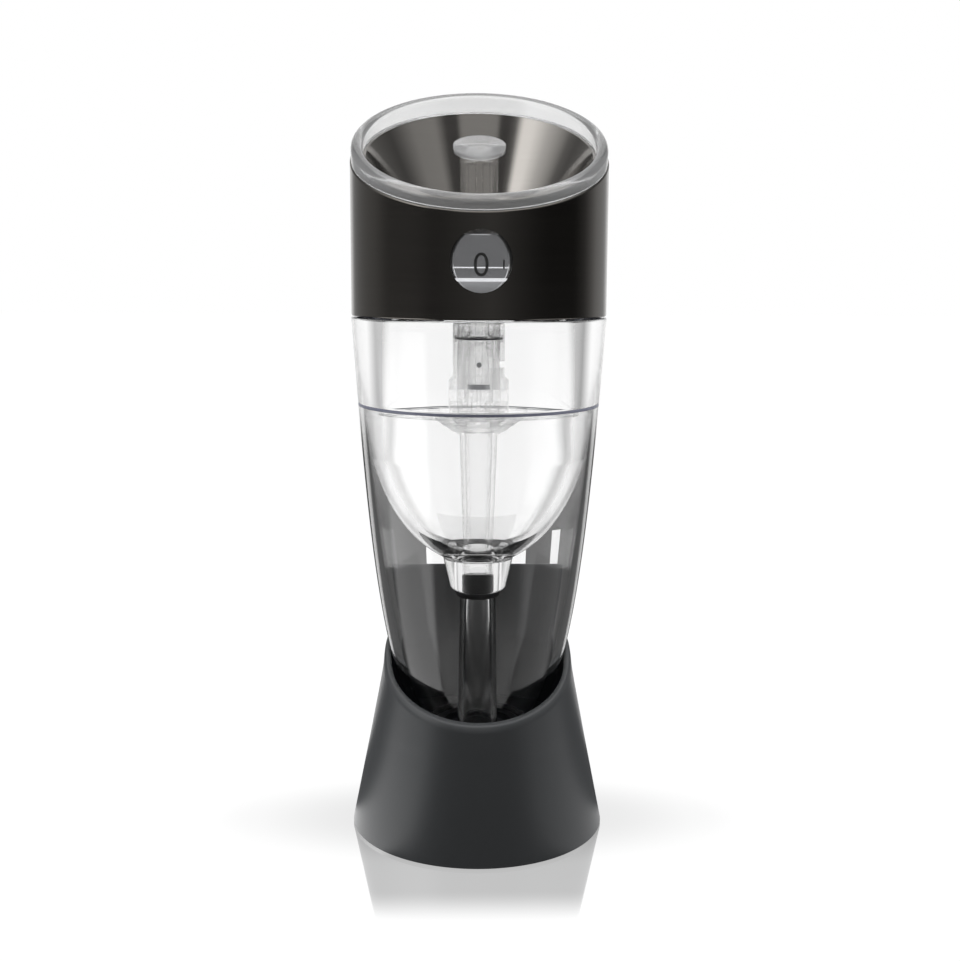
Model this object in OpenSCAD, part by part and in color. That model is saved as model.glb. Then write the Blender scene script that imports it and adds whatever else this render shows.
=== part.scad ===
// Adjustable wine aerator pourer in its cone stand.
// Millimetres, +Z up, origin on the table under the centre of the stand.
// The front, with the number window and the low side of the mouth, faces -Y.

/* [Clear body] */
// Radius of the clear body just under the band
body_top_r = 28.6; // [27:0.1:31]
// Radius that the clear body loses for each millimetre down
body_taper = 0.07; // [0.05:0.005:0.09]
// How far below its bottom rim the body's outline would close
body_close = 3.3; // [2.5:0.1:6]
// Power of the depth in the body's outline, higher is more barrel-shaped
body_depth_power = 3.6; // [3:0.1:4.5]
// Power of the radius in the body's outline
body_radius_power = 4; // [3:0.5:5]
// Height of the shell's bottom rim above the table
seat_z = 24; // [22:0.5:30]
// Length of the lower shell up to the bowl's rim
shell_h = 73; // [66:0.2:80]
// Wall of the lower shell at its top
shell_wall_top = 1.2; // [0.8:0.1:1.3]
// Wall of the lower shell at its bottom rim
shell_wall_bottom = 2.6; // [1.6:0.1:3.2]
// Visible height of the upper body, from the seam to the band
upper_h = 19.1; // [17:0.1:24]
// Wall of the upper body
upper_wall = 5.4; // [5:0.1:6.6]
// Width of the shoulder between the upper body and its spigot inside the band
shoulder_w = 3.2; // [2.8:0.1:3.6]
// Thickness of the seam gasket
gasket_t = 0.6; // [0.4:0.1:1.2]
// Radial width of the seam gasket
gasket_w = 3; // [1.5:0.1:3.5]

/* [Bowl and neck] */
// Height of the bowl's rim inside the top of the shell
flange_t = 2; // [1.5:0.1:3]
// How far the bowl stands in from the radius of the clear body
bowl_inset = 3; // [2.9:0.1:4]
// Outer depth of the bowl below its rim
bowl_h = 37; // [32:0.5:40]
// Wall of the bowl
bowl_wall = 2.8; // [2:0.1:3.2]
// Width of the ledge inside the bowl's rim
ledge_w = 1.2; // [0.8:0.1:2]
// Outer radius of the neck where it leaves the bowl
neck_top_r = 8.2; // [7.5:0.1:9.5]
// Outer radius of the neck at its lower end
neck_bottom_r = 6.35; // [5.8:0.05:7.2]
// Length of the neck
neck_h = 8; // [7:0.5:14]
// Bore of the neck
neck_bore_r = 3.6; // [3.2:0.1:4]
// Rounding of the neck's lower edge
neck_round = 0.8; // [0.3:0.1:1.2]

/* [Nozzle] */
// Outer radius of the nozzle under the neck
nozzle_top_r = 4.1; // [3.9:0.1:5]
// Outer radius of the nozzle at its outlet
nozzle_end_r = 4.75; // [4.2:0.05:5.6]
// Bore of the nozzle at its top
nozzle_bore_r = 2.5; // [2:0.1:2.8]
// Bore of the nozzle at its outlet
nozzle_mouth_r = 3.4; // [2.6:0.1:3.8]
// How far the outlet stands out below the shell's bottom rim
nozzle_proud = 1.5; // [0.5:0.1:4]
// Length of the nozzle's spigot inside the neck
nozzle_spigot_h = 5; // [3.5:0.1:6]
// Height of the seal ring under the neck
nozzle_seal_h = 1.4; // [0.8:0.1:1.6]
// Outer radius of the seal ring under the neck
nozzle_seal_r = 5.6; // [4.8:0.1:5.7]

/* [Valve] */
// Thickness of the divider plate at the seam
plate_t = 1.5; // [1.2:0.1:1.9]
// Radius of the vent holes in the divider plate
plate_vent_r = 1.5; // [1:0.1:2]
// Distance of the vent holes from the axis
plate_vent_at = 15; // [13:0.5:18]
// Outer radius of the valve's base
valve_base_r = 6.8; // [6.6:0.1:7.6]
// Height of the valve's base above the divider plate
valve_base_h = 7.2; // [6.6:0.1:8.4]
// Thickness of the valve's floor
valve_floor_t = 1.5; // [1:0.1:1.7]
// Outer radius of the valve's collar
collar_r = 5.9; // [5.75:0.05:6.3]
// Bore of the valve's collar
collar_bore_r = 5; // [4.8:0.1:5.1]
// Height of the collar above the divider plate
collar_h = 16.9; // [15.5:0.1:18.5]
// Outer radius of the valve's spigot below the divider plate
valve_spigot_r = 5.9; // [5.6:0.1:6.3]
// Wall of the valve's spigot
valve_spigot_wall = 0.9; // [0.7:0.1:1.1]
// Depth of the valve's spigot below the divider plate
valve_spigot_h = 1.7; // [1.2:0.1:2]
// Radius of the hub with the air port
hub_r = 3.3; // [3.15:0.05:3.5]
// Height of the hub above the valve's floor
hub_h = 2.65; // [2:0.05:3]
// Radius of the air port
air_port_r = 0.5; // [0.3:0.05:0.6]
// Distance of the air port from the axis
air_port_at = 2.5; // [2.3:0.05:2.6]
// Number of drain holes in the valve's floor
drain_holes = 6; // [4:1:8]
// Radius of the drain holes
drain_hole_r = 0.65; // [0.4:0.05:0.7]
// Width of the windows in the valve's base
valve_window_w = 4.2; // [3:0.1:5]
// Height of the windows in the valve's base
valve_window_h = 2.4; // [1.6:0.1:2.8]
// Outer radius of the air ring under the divider plate
air_ring_r = 10; // [9:0.1:12]
// Height of the air ring
air_ring_h = 4.5; // [4:0.1:6]
// Height of the air ring's straight edge
air_ring_edge = 1.2; // [0.8:0.1:1.6]
// Outer radius of the air ring at its lower end
air_ring_end_r = 6.4; // [6:0.1:7]
// Number of air holes round the air ring
air_holes = 8; // [6:1:10]
// Radius of the air holes
air_hole_r = 0.6; // [0.4:0.05:0.7]
// Outer radius of the mixing tube at its top
tube_top_r = 4.3; // [4:0.1:4.8]
// Bore of the mixing tube at its top
tube_top_bore_r = 3.2; // [2.8:0.1:3.5]
// Bore of the mixing tube at its lower end
tube_end_bore_r = 2.5; // [2:0.1:2.8]
// Radius of the collar at the top of the mixing tube
tube_collar_r = 5; // [4.9:0.1:6]
// Height of the collar at the top of the mixing tube
tube_collar_h = 0.6; // [0.4:0.1:1]

/* [Dial] */
// How far the metal band stands in from the clear body
band_inset = 0.1; // [0:0.05:0.4]
// Wall of the metal band
band_wall = 1.1; // [0.8:0.1:1.15]
// Height of the band at its front
band_front_h = 21.8; // [20.8:0.1:26]
// Slant of the band's top edge
band_tilt = 24; // [18:0.5:28]
// Slant of the clear lip
lip_tilt = 25.8; // [24:0.1:28]
// Height of the lip's crest above the band at the front
lip_front_h = 3.5; // [2.4:0.1:4]
// How far the lip stands in from the metal band
lip_inset = 0.2; // [0:0.05:0.6]
// Radial width of the lip
lip_w = 2.6; // [2.1:0.1:3.1]
// Length of the mouth cup inside the band at the front
cup_skirt_h = 2.4; // [1.6:0.1:2.6]
// Radius of the number window
window_r = 6.4; // [5:0.1:6.6]
// Height of the number window above the band's lower edge
window_h = 12; // [11:0.1:12.4]
// Thickness of the pane in the number window
pane_t = 0.9; // [0.6:0.1:1]
// Wall of the number ring
number_ring_wall = 0.85; // [0.6:0.05:1]
// Height of the number ring
number_ring_h = 14.1; // [13:0.1:14.3]
// How far the number ring's lower flange stands out
number_flange_w = 0.65; // [0.5:0.05:0.7]
// Thickness of the number ring's lower flange
number_flange_t = 0.8; // [0.6:0.1:1.2]
// Angle from one number to the next
number_step = 20; // [12:1:24]
// Highest number on the ring
number_top = 6; // [3:1:6]
// Height of a number
digit_h = 4.8; // [3:0.1:5.5]
// Width of a number
digit_w = 3; // [2:0.1:3.4]
// Width of a number's strokes
digit_stroke = 0.55; // [0.35:0.05:0.7]
// How far the numbers sit below the window's middle
digit_drop = 0.7; // [0:0.1:1]
// Height of the half-step marks
tick_h = 1.9; // [1:0.1:3]
// How far the print stands out from the number ring
print_t = 0.06; // [0.04:0.01:0.1]
// Height of the glide ring
glide_h = 2; // [1.4:0.1:2.2]
// Height of the retaining ring
retainer_h = 0.8; // [0.5:0.1:0.9]
// Radial width of the retaining ring
retainer_w = 1.65; // [1.3:0.05:1.7]
// Depth of the retaining ring's groove in the band
retainer_groove = 0.3; // [0.2:0.05:0.4]
// Gap in the retaining ring, as an angle
retainer_gap = 20; // [10:1:40]

/* [Funnel and post] */
// Height of the funnel's rim above the band's top edge
funnel_rim_h = 0.6; // [0.2:0.1:1]
// Thickness of the funnel
funnel_t = 0.6; // [0.4:0.1:0.9]
// Radius of the drain hole in the funnel
funnel_drain_r = 6.3; // [5.8:0.1:7]
// Height of the funnel's lower end above the band's lower edge
funnel_drain_h = 2; // [1.8:0.1:4]
// Bore of the drain tube
drain_bore_r = 4; // [3.7:0.1:4.2]
// Radius of the drain tube's top flange
drain_flange_r = 7.6; // [7:0.1:9]
// Thickness of the drain tube's top flange
drain_flange_t = 1.4; // [1:0.1:1.7]
// Depth of the taper inside the drain tube's top
drain_taper_h = 2.6; // [1.8:0.1:3.2]
// Thickness of the ribs that carry the post
post_rib_t = 0.8; // [0.6:0.1:1.2]
// Height of the ribs that carry the post
post_rib_h = 5; // [3:0.5:7]
// Radius of the stop pin
stop_pin_r = 0.55; // [0.4:0.05:0.7]
// Height of the stop pin above the divider plate
stop_pin_h = 9.6; // [9:0.1:11]
// Radius of the air post
post_r = 4.2; // [3.6:0.1:4.8]
// Radius of the post's stem inside the drain tube
stem_r = 2.4; // [2.2:0.1:2.6]
// Bore of the post
post_bore_r = 0.9; // [0.6:0.1:1.2]
// Height of the post's shoulder above the funnel's lower end
post_shoulder_h = 3; // [1.5:0.1:4]
// Height of the cap's middle above the band's lower edge
cap_h = 36.6; // [32:0.1:38]
// Radius of the post's cap
cap_r = 5.8; // [5.2:0.1:7]
// Thickness of the post's cap
cap_t = 1.3; // [0.8:0.1:2]
// Radius of the air vents under the cap
vent_r = 0.5; // [0.3:0.1:0.7]
// Distance of the air vents below the cap
vent_drop = 3.2; // [3:0.1:8]
// Radius of the metering cam
cam_r = 2.6; // [2.5:0.05:2.7]
// How far the metering cam is off centre
cam_offset = 0.4; // [0.25:0.05:0.5]
// Thickness of the metering cam
cam_t = 1; // [0.6:0.1:1.2]

/* [Stand] */
// How much wider the stand's base is than the clear body, on the radius
base_flare = 0.8; // [-0.5:0.1:4]
// Radius that the stand's cone loses for each millimetre up
cone_taper = 0.2; // [0.17:0.002:0.205]
// Height of the rim at the front of the stand
rim_front_z = 30.5; // [29:0.5:34]
// Slant of the rim from the front to the sides
rim_tilt = 23.3; // [18:0.1:26]
// Height of the stand's back where it is furthest from the front
rim_back_z = 56; // [53:0.5:63]
// Where the rim starts to rise towards the back
rise_start_y = 6; // [3:0.5:7]
// Where the rim is highest
rise_end_y = 9.5; // [8:0.5:12]
// Slant of the back's top edge, down from its sides to its middle
back_slant = 12; // [0:0.5:14]
// Wall of the cone from the shelf up to the rim
rim_wall = 1.5; // [1:0.1:2.2]
// Wall of the stand's back above the waist
back_wall = 1.2; // [1:0.1:2]
// Wall of the stand's hollow foot
foot_wall = 2.4; // [1.8:0.1:3]
// Thickness of the shelf under the socket
shelf_t = 2.4; // [1.6:0.1:3.2]
// Thickness of the seat ring
seat_t = 1.5; // [1:0.1:2]
// Radius of the drip hole through the shelf
drip_hole_r = 8.6; // [7:0.1:9]
// Thickness of the base plate
plate_base_t = 1.8; // [1.4:0.1:2.6]
// Thickness of the foot ring
foot_t = 1.2; // [0.8:0.1:2]
// How far the foot ring stands out below the stand
foot_proud = 0.5; // [0.3:0.1:0.7]
// Radial width of the foot ring
foot_w = 2; // [1.5:0.1:3]
// Gap between the drip cup and the screw bosses
drip_cup_gap = 1.4; // [0.9:0.1:5]
// Height of the drip cup
drip_cup_h = 10; // [6:0.5:14]
// Wall of the drip cup
drip_cup_wall = 1.2; // [0.8:0.1:2]
// Number of base screws
screws = 3; // [3:1:4]
// Distance of the base screws from the stand's edge
screw_inset = 7.9; // [7.5:0.1:8.4]
// Radius of the screw bosses
boss_r = 2.6; // [2.2:0.1:2.8]
// Radius of the screw shanks
screw_r = 1.1; // [0.9:0.05:1.3]
// Radius of the screw heads
screw_head_r = 2.2; // [1.8:0.1:2.4]
// Height of the screw heads
screw_head_h = 1.1; // [0.8:0.1:1.2]
// Length of the screws above the base plate
screw_grip = 8; // [5:0.5:12]

/* [Clearances] */
// Between the shell and the stand's socket
socket_clear = 0.25; // [0.15:0.05:0.4]
// Between pieces that turn past each other
turn_clear = 0.15; // [0.1:0.05:0.2]
// Between the turning band and the clear body below it
band_gap = 0.3; // [0.2:0.05:0.5]
// Between pieces that are pressed or bonded together
fit_clear = 0.05; // [0.03:0.01:0.08]
// Between stacked faces that are bonded together
stack_clear = 0.1; // [0.05:0.01:0.15]

/* [Hidden] */
$fn = 96;

// Radii that follow the clear body
upper_bore_r = body_top_r - upper_wall;
spigot_r = body_top_r - shoulder_w;
bowl_r = body_top_r - bowl_inset;
band_r = body_top_r - band_inset;
lip_r = band_r - lip_inset;
mouth_bore_r = lip_r - lip_w;
base_r = body_top_r + base_flare;
screw_at = base_r - screw_inset;
drip_cup_r = screw_at - boss_r - drip_cup_gap;

// Heights, from the table up
shell_top_z = seat_z + shell_h;
flange_top_z = shell_top_z + flange_t;
gasket_top_z = flange_top_z + gasket_t;
body_top_z = gasket_top_z + upper_h;
body_len = body_top_z - seat_z;
band_z = body_top_z + band_gap;
window_z = band_z + window_h;
funnel_drain_z = band_z + funnel_drain_h;

// Planes of the slanted mouth: their height on the axis
band_axis_z = band_z + band_front_h + band_r * tan(band_tilt);
lip_crest_r = (lip_r + mouth_bore_r) / 2;
lip_axis_z = band_z + band_front_h + lip_front_h + lip_crest_r * tan(lip_tilt);
funnel_axis_z = band_axis_z + funnel_rim_h;
cup_low_z = band_z + band_front_h - cup_skirt_h;

// Valve levels, from the divider plate
plate_top_z = gasket_top_z - stack_clear;
plate_low_z = plate_top_z - plate_t;
valve_floor_z = plate_top_z + stack_clear / 2;
hub_top_z = valve_floor_z + valve_floor_t + hub_h;
cam_low_z = hub_top_z + turn_clear;
stem_low_z = cam_low_z + cam_t + fit_clear;
air_ring_top_z = plate_low_z - stack_clear;
air_ring_low_z = air_ring_top_z - air_ring_h;
tube_top_z = air_ring_low_z - stack_clear;

// Bowl, neck and nozzle levels
neck_z = flange_top_z - bowl_h * sqrt(1 - pow(neck_top_r / bowl_r, 2));
neck_low_z = neck_z - neck_h;
nozzle_top_z = neck_low_z - nozzle_seal_h - 2 * stack_clear;
nozzle_spigot_top_z = nozzle_top_z + nozzle_spigot_h + nozzle_seal_h;
tube_end_z = nozzle_spigot_top_z + stack_clear;
nozzle_end_z = seat_z - nozzle_proud;

// Dial levels and radii
band_bore_r = band_r - band_wall;
glide_z = body_top_z + band_gap + stack_clear;
retainer_z = glide_z + glide_h + 2 * turn_clear;
number_flange_z = retainer_z + retainer_h + turn_clear;
number_ring_r = spigot_r + fit_clear + number_ring_wall;
spigot_top_z = number_flange_z + number_ring_h;
drain_tube_r = collar_bore_r - turn_clear;
stop_pin_z = plate_top_z + stop_pin_h;
cap_z = band_z + cap_h;
dial_range = number_step * number_top;
front_angle = -90;

// Stand levels
seat_ring_top_z = seat_z - stack_clear;
shelf_top_z = seat_ring_top_z - seat_t;
shelf_low_z = shelf_top_z - shelf_t;
seat_r = body_r(seat_z) + socket_clear;
base_plate_top_z = foot_t + plate_base_t;
blend_width = 1;
back_crest_z = rim_back_z + (stand_r(rim_back_z) - rise_end_y) * tan(back_slant);

// Steps along the curved outlines
curve_steps = 28;
bowl_steps = 26;
rise_steps = 12;
cut_size = 200;
slack = 0.5;

// Outer radius of the clear body at a height above the table
function body_r(z) =
    let (depth = body_top_z - z, close = body_len + body_close)
    (body_top_r - body_taper * depth)
    * pow(1 - pow(depth / close, body_depth_power), 1 / body_radius_power);

// Wall of the lower shell at a height above the table
function shell_wall(z) =
    shell_wall_top + (shell_wall_bottom - shell_wall_top) * (shell_top_z - z) / shell_h;

// Inner radius of the lower shell at a height above the table
function shell_bore_r(z) = body_r(z) - shell_wall(z);

// Heights between two levels, closer together near the lower one
function heights(low, high, steps) =
    [for (i = [0 : steps]) low + (high - low) * pow(i / steps, 1.6)];

// Point of an elliptical bowl at an angle below its rim
function bowl_point(r, h, angle) = [r * cos(angle), flange_top_z - h * sin(angle)];

// Radius of the stand's cone at a height above the table
function cone_r(z) = base_r - cone_taper * z;

// Larger of two radii, blended where they cross
function blended_max(a, b) = (a + b + sqrt(pow(a - b, 2) + pow(blend_width, 2))) / 2;

// Outer radius of the stand: the cone, then a flare that follows the shell
function stand_r(z) =
    z < seat_z ? cone_r(z) : blended_max(cone_r(z), body_r(z) + socket_clear + back_wall);

// Point on a cubic curve through two end points
function curve_point(a, b, c, d, t) =
    pow(1 - t, 3) * a + 3 * pow(1 - t, 2) * t * b + 3 * (1 - t) * t * t * c + t * t * t * d;

// Everything above a plane that slants up from the front to the back
module above_slant(axis_z, tilt) {
    translate([0, 0, axis_z])
        rotate([tilt, 0, 0])
            translate([-cut_size / 2, -cut_size / 2, 0])
                cube(cut_size);
}

// Flat ring between two radii
module ring(outer_r, inner_r, h) {
    difference() {
        cylinder(r = outer_r, h = h);
        translate([0, 0, -slack])
            cylinder(r = inner_r, h = h + 2 * slack);
    }
}

// Thin disc in a slanted plane, round when seen from above
module slanted_disc(r, axis_z, tilt) {
    multmatrix([[1, 0, 0, 0], [0, 1, 0, 0], [0, tan(tilt), 1, axis_z], [0, 0, 0, 1]])
        cylinder(r = r, h = 0.01);
}

// Copies round the axis
module around(count, start = 0) {
    for (i = [0 : count - 1])
        rotate([0, 0, start + i * 360 / count])
            children();
}

// Cone stand with a socket, a scooped front and a raised back
module stand_shell() {
    outline = [for (z = heights(foot_proud, back_crest_z + slack, curve_steps)) [stand_r(z), z]];
    socket = [for (z = heights(seat_z, back_crest_z + 4 * slack, curve_steps)) [body_r(z) + socket_clear, z]];
    color("#3a3b3d")
        difference() {
            union() {
                difference() {
                    rotate_extrude()
                        polygon(concat([[0, back_crest_z + slack], [0, foot_proud]], outline));
                    rotate_extrude()
                        polygon([
                            [0, foot_proud - slack],
                            [cone_r(foot_proud - slack) - foot_wall, foot_proud - slack],
                            [cone_r(shelf_low_z) - foot_wall, shelf_low_z],
                            [0, shelf_low_z]
                        ]);
                }
                intersection() {
                    around(screws, front_angle)
                        translate([screw_at, 0, base_plate_top_z + stack_clear])
                            cylinder(r = boss_r, h = shelf_low_z - base_plate_top_z);
                    cylinder(r1 = base_r - foot_wall / 2, r2 = cone_r(seat_z) - foot_wall / 2, h = seat_z);
                }
            }
            rotate_extrude()
                polygon(concat(
                    [[0, back_crest_z + 4 * slack], [0, shelf_top_z], [seat_r, shelf_top_z]],
                    socket
                ));
            translate([0, 0, shelf_top_z])
                cylinder(
                    r1 = cone_r(shelf_top_z) - rim_wall,
                    r2 = cone_r(back_crest_z) - rim_wall,
                    h = back_crest_z - shelf_top_z
                );
            translate([0, 0, shelf_low_z - slack])
                cylinder(r = drip_hole_r, h = shelf_t + 2 * slack);
            around(screws, front_angle)
                translate([screw_at, 0, foot_proud])
                    cylinder(r = screw_r + fit_clear, h = base_plate_top_z + screw_grip + slack - foot_proud);
            stand_scoop();
        }
}

// What the scoop takes off the top of the stand: most at the front, a little at the back
module stand_scoop() {
    front_y = -cone_r(rim_front_z);
    rise_start_z = rim_front_z + (rise_start_y - front_y) * tan(rim_tilt);
    lead = (rise_end_y - rise_start_y) / 2;
    low_y = front_y - base_r;
    far_y = cut_size / 2;
    rise = [for (i = [0 : rise_steps])
        curve_point(
            [rise_start_y, rise_start_z],
            [rise_start_y + lead, rise_start_z + lead * tan(rim_tilt)],
            [rise_end_y - 0.9 * lead, back_crest_z],
            [rise_end_y, back_crest_z],
            i / rise_steps
        )];
    rotate([90, 0, 90])
        translate([0, 0, -cut_size / 2])
            linear_extrude(cut_size)
                polygon(concat(
                    [[low_y, rim_front_z - base_r * tan(rim_tilt)]],
                    rise,
                    [
                        [far_y, back_crest_z - (far_y - rise_end_y) * tan(back_slant)],
                        [far_y, cut_size],
                        [low_y, cut_size]
                    ]
                ));
}

// Soft ring on the shelf that the shell stands on
module seat_ring() {
    color("#26272a")
        translate([0, 0, shelf_top_z])
            ring(seat_r - fit_clear, drip_hole_r, seat_t);
}

// Cup that catches the last drips
module drip_cup() {
    color("#2e3033")
        translate([0, 0, base_plate_top_z])
            difference() {
                cylinder(r = drip_cup_r, h = drip_cup_h);
                translate([0, 0, drip_cup_wall])
                    cylinder(r = drip_cup_r - drip_cup_wall, h = drip_cup_h);
            }
}

// Plate that closes the stand from below
module base_plate() {
    color("#303134")
        difference() {
            translate([0, 0, foot_t])
                cylinder(r = cone_r(base_plate_top_z) - foot_wall - 2 * fit_clear, h = plate_base_t);
            around(screws, front_angle)
                translate([screw_at, 0, 0]) {
                    cylinder(r = screw_r + 2 * fit_clear, h = base_plate_top_z + slack);
                    cylinder(r = screw_head_r + 2 * fit_clear, h = foot_t + screw_head_h);
                }
        }
}

// Screws that hold the base plate
module base_screws() {
    color("#9a9ca0")
        around(screws, front_angle)
            translate([screw_at, 0, foot_t]) {
                cylinder(r = screw_head_r, h = screw_head_h - fit_clear);
                cylinder(r = screw_r, h = plate_base_t + screw_grip);
            }
}

// Soft ring that the stand rests on
module foot_ring() {
    outer_r = cone_r(base_plate_top_z) - foot_wall - 2 * fit_clear;
    color("#1c1d1f")
        ring(outer_r, outer_r - foot_w, foot_t);
}

// Clear lower shell, open at both ends
module outer_shell() {
    levels = heights(seat_z, flange_top_z, curve_steps);
    count = len(levels);
    outside = [for (z = levels) [body_r(z), z]];
    inside = [for (i = [0 : count - 1])
        let (z = levels[count - 1 - i])
        [shell_bore_r(z), z]];
    color("#dfe6ea", 0.35)
        rotate_extrude()
            polygon(concat(outside, inside));
}

// Clear bowl with its rim and neck
module mixing_bowl() {
    inner_r = bowl_r - bowl_wall;
    inner_h = bowl_h - bowl_wall;
    ledge_top_z = plate_low_z - stack_clear;
    ledge_r = inner_r - ledge_w;
    neck_angle = acos(neck_top_r / bowl_r);
    under_flange_angle = asin(flange_t / bowl_h);
    ledge_angle = acos(ledge_r / inner_r);
    bore_angle = acos(neck_bore_r / inner_r);
    outside = [for (i = [0 : bowl_steps])
        bowl_point(bowl_r, bowl_h, under_flange_angle + (neck_angle - under_flange_angle) * i / bowl_steps)];
    inside = [for (i = [bowl_steps : -1 : 0])
        bowl_point(inner_r, inner_h, ledge_angle + (bore_angle - ledge_angle) * i / bowl_steps)];
    color("#e6ebee", 0.35)
        rotate_extrude()
            polygon(concat(
                [
                    [plate_r() + stack_clear, flange_top_z],
                    [shell_bore_r(flange_top_z) - fit_clear, flange_top_z],
                    [shell_bore_r(shell_top_z) - fit_clear, shell_top_z]
                ],
                outside,
                [
                    [neck_bottom_r, neck_low_z + neck_round],
                    [neck_bottom_r - neck_round, neck_low_z],
                    [neck_bore_r, neck_low_z]
                ],
                inside,
                [[ledge_r, ledge_top_z], [plate_r() + stack_clear, ledge_top_z]]
            ));
}

// Outer radius of the divider plate
function plate_r() = bowl_r - bowl_wall - 2 * stack_clear;

// Gasket that shows as the seam line
module seam_gasket() {
    outer_r = body_r(gasket_top_z) - fit_clear;
    color("#6f7488")
        translate([0, 0, flange_top_z])
            ring(outer_r, outer_r - gasket_w, gasket_t);
}

// Thick clear body above the seam, with the spigot that the dial turns on
module upper_body() {
    levels = heights(gasket_top_z, body_top_z, 8);
    lip_r = plate_r() - ledge_w;
    lip_h = 2 * ledge_w;
    color("#e6ebee", 0.35)
        rotate_extrude()
            polygon(concat(
                [[lip_r, gasket_top_z]],
                [for (z = levels) [body_r(z), z]],
                [
                    [spigot_r, body_top_z],
                    [spigot_r, spigot_top_z],
                    [upper_bore_r, spigot_top_z],
                    [upper_bore_r, gasket_top_z + lip_h],
                    [lip_r, gasket_top_z + ledge_w]
                ]
            ));
}

// Clear plate between the upper body and the bowl
module divider_plate() {
    color("#e6ebee", 0.35)
        translate([0, 0, plate_low_z])
            difference() {
                ring(plate_r(), valve_spigot_r + fit_clear, plate_t);
                around(4, 45)
                    translate([plate_vent_at, 0, -slack])
                        cylinder(r = plate_vent_r, h = plate_t + 2 * slack);
            }
}

// Valve with its collar, hub, drain holes and windows
module valve_body() {
    floor_top_z = valve_floor_z + valve_floor_t;
    base_top_z = valve_floor_z + valve_base_h;
    collar_top_z = valve_floor_z + collar_h;
    spigot_low_z = plate_low_z - valve_spigot_h;
    drain_at = (hub_r + collar_bore_r) / 2;
    window_low_z = floor_top_z + 2 * stack_clear;
    shoulder = valve_base_r - collar_r;
    color("#d9dee2", 0.45)
        difference() {
            rotate_extrude()
                polygon([
                    [0, valve_floor_z],
                    [valve_spigot_r - valve_spigot_wall, valve_floor_z],
                    [valve_spigot_r - valve_spigot_wall, spigot_low_z],
                    [valve_spigot_r, spigot_low_z],
                    [valve_spigot_r, valve_floor_z],
                    [valve_base_r, valve_floor_z],
                    [valve_base_r, base_top_z - shoulder],
                    [collar_r, base_top_z],
                    [collar_r, collar_top_z],
                    [collar_bore_r, collar_top_z],
                    [collar_bore_r, floor_top_z],
                    [hub_r, floor_top_z],
                    [hub_r, hub_top_z],
                    [0, hub_top_z]
                ]);
            rotate([0, 0, front_angle])
                translate([air_port_at, 0, valve_floor_z - slack])
                    cylinder(r = air_port_r, h = valve_floor_t + hub_h + 2 * slack, $fn = 32);
            around(drain_holes)
                translate([drain_at, 0, valve_floor_z - slack])
                    cylinder(r = drain_hole_r, h = valve_floor_t + 2 * slack, $fn = 32);
            around(3, front_angle)
                translate([collar_bore_r - slack, -valve_window_w / 2, window_low_z])
                    cube([valve_base_r, valve_window_w, valve_window_h]);
            valve_seal_groove();
            stop_slot();
        }
}

// Groove for the seal near the top of the valve's collar
module valve_seal_groove() {
    translate([0, 0, valve_seal_z() - fit_clear])
        ring(collar_bore_r + valve_seal_w() + fit_clear, collar_bore_r - slack, valve_seal_h() + 2 * fit_clear);
}

// Size and place of the seal in the valve's collar
function valve_seal_w() = (collar_r - collar_bore_r) / 2;
function valve_seal_h() = 3 * valve_seal_w();
function valve_seal_z() = valve_floor_z + collar_h - 2 * valve_seal_h();

// Slot that limits the stop pin's travel
module stop_slot() {
    margin = asin(stop_pin_r / collar_bore_r) + 2;
    slot_h = 2 * (stop_pin_r + turn_clear);
    translate([0, 0, stop_pin_z - slot_h / 2])
        rotate([0, 0, front_angle - margin])
            rotate_extrude(angle = dial_range + 2 * margin)
                translate([collar_bore_r - slack, 0])
                    square([collar_r - collar_bore_r + 2 * slack, slot_h]);
}

// Seal ring in the valve's collar
module valve_seal() {
    color("#3a3c40")
        translate([0, 0, valve_seal_z()])
            ring(collar_bore_r + valve_seal_w(), drain_tube_r + turn_clear / 2, valve_seal_h());
}

// Ring under the divider plate with the air holes
module air_ring() {
    socket_z = plate_low_z - valve_spigot_h - stack_clear;
    hole_z = (air_ring_low_z + socket_z) / 2;
    color("#dde2e6", 0.45)
        difference() {
            rotate_extrude()
                polygon([
                    [0, air_ring_low_z],
                    [air_ring_end_r, air_ring_low_z],
                    [air_ring_r, air_ring_top_z - air_ring_edge],
                    [air_ring_r, air_ring_top_z],
                    [0, air_ring_top_z]
                ]);
            translate([0, 0, air_ring_low_z - slack])
                cylinder(r = tube_top_bore_r, h = air_ring_h + 2 * slack);
            translate([0, 0, socket_z])
                cylinder(r = valve_spigot_r + fit_clear, h = air_ring_h);
            around(air_holes)
                translate([0, 0, hole_z])
                    rotate([0, 90, 0])
                        cylinder(r = air_hole_r, h = air_ring_r, $fn = 32);
        }
}

// Tapered tube in which the wine takes up the air
module mixing_tube() {
    end_r = neck_bore_r - 2 * fit_clear;
    color("#e3e8eb", 0.4)
        rotate_extrude()
            polygon([
                [tube_top_bore_r, tube_top_z],
                [tube_collar_r, tube_top_z],
                [tube_collar_r, tube_top_z - tube_collar_h],
                [tube_top_r, tube_top_z - tube_collar_h],
                [end_r, neck_z],
                [end_r, tube_end_z],
                [tube_end_bore_r, tube_end_z]
            ]);
}

// Clear spout under the neck
module nozzle() {
    spigot_r = neck_bore_r - 2 * fit_clear;
    color("#e6ebee", 0.4)
        rotate_extrude()
            polygon([
                [nozzle_bore_r, nozzle_spigot_top_z],
                [spigot_r, nozzle_spigot_top_z],
                [spigot_r, nozzle_top_z],
                [nozzle_top_r, nozzle_top_z],
                [nozzle_end_r, nozzle_end_z],
                [nozzle_mouth_r, nozzle_end_z],
                [nozzle_bore_r, nozzle_top_z]
            ]);
}

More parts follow.
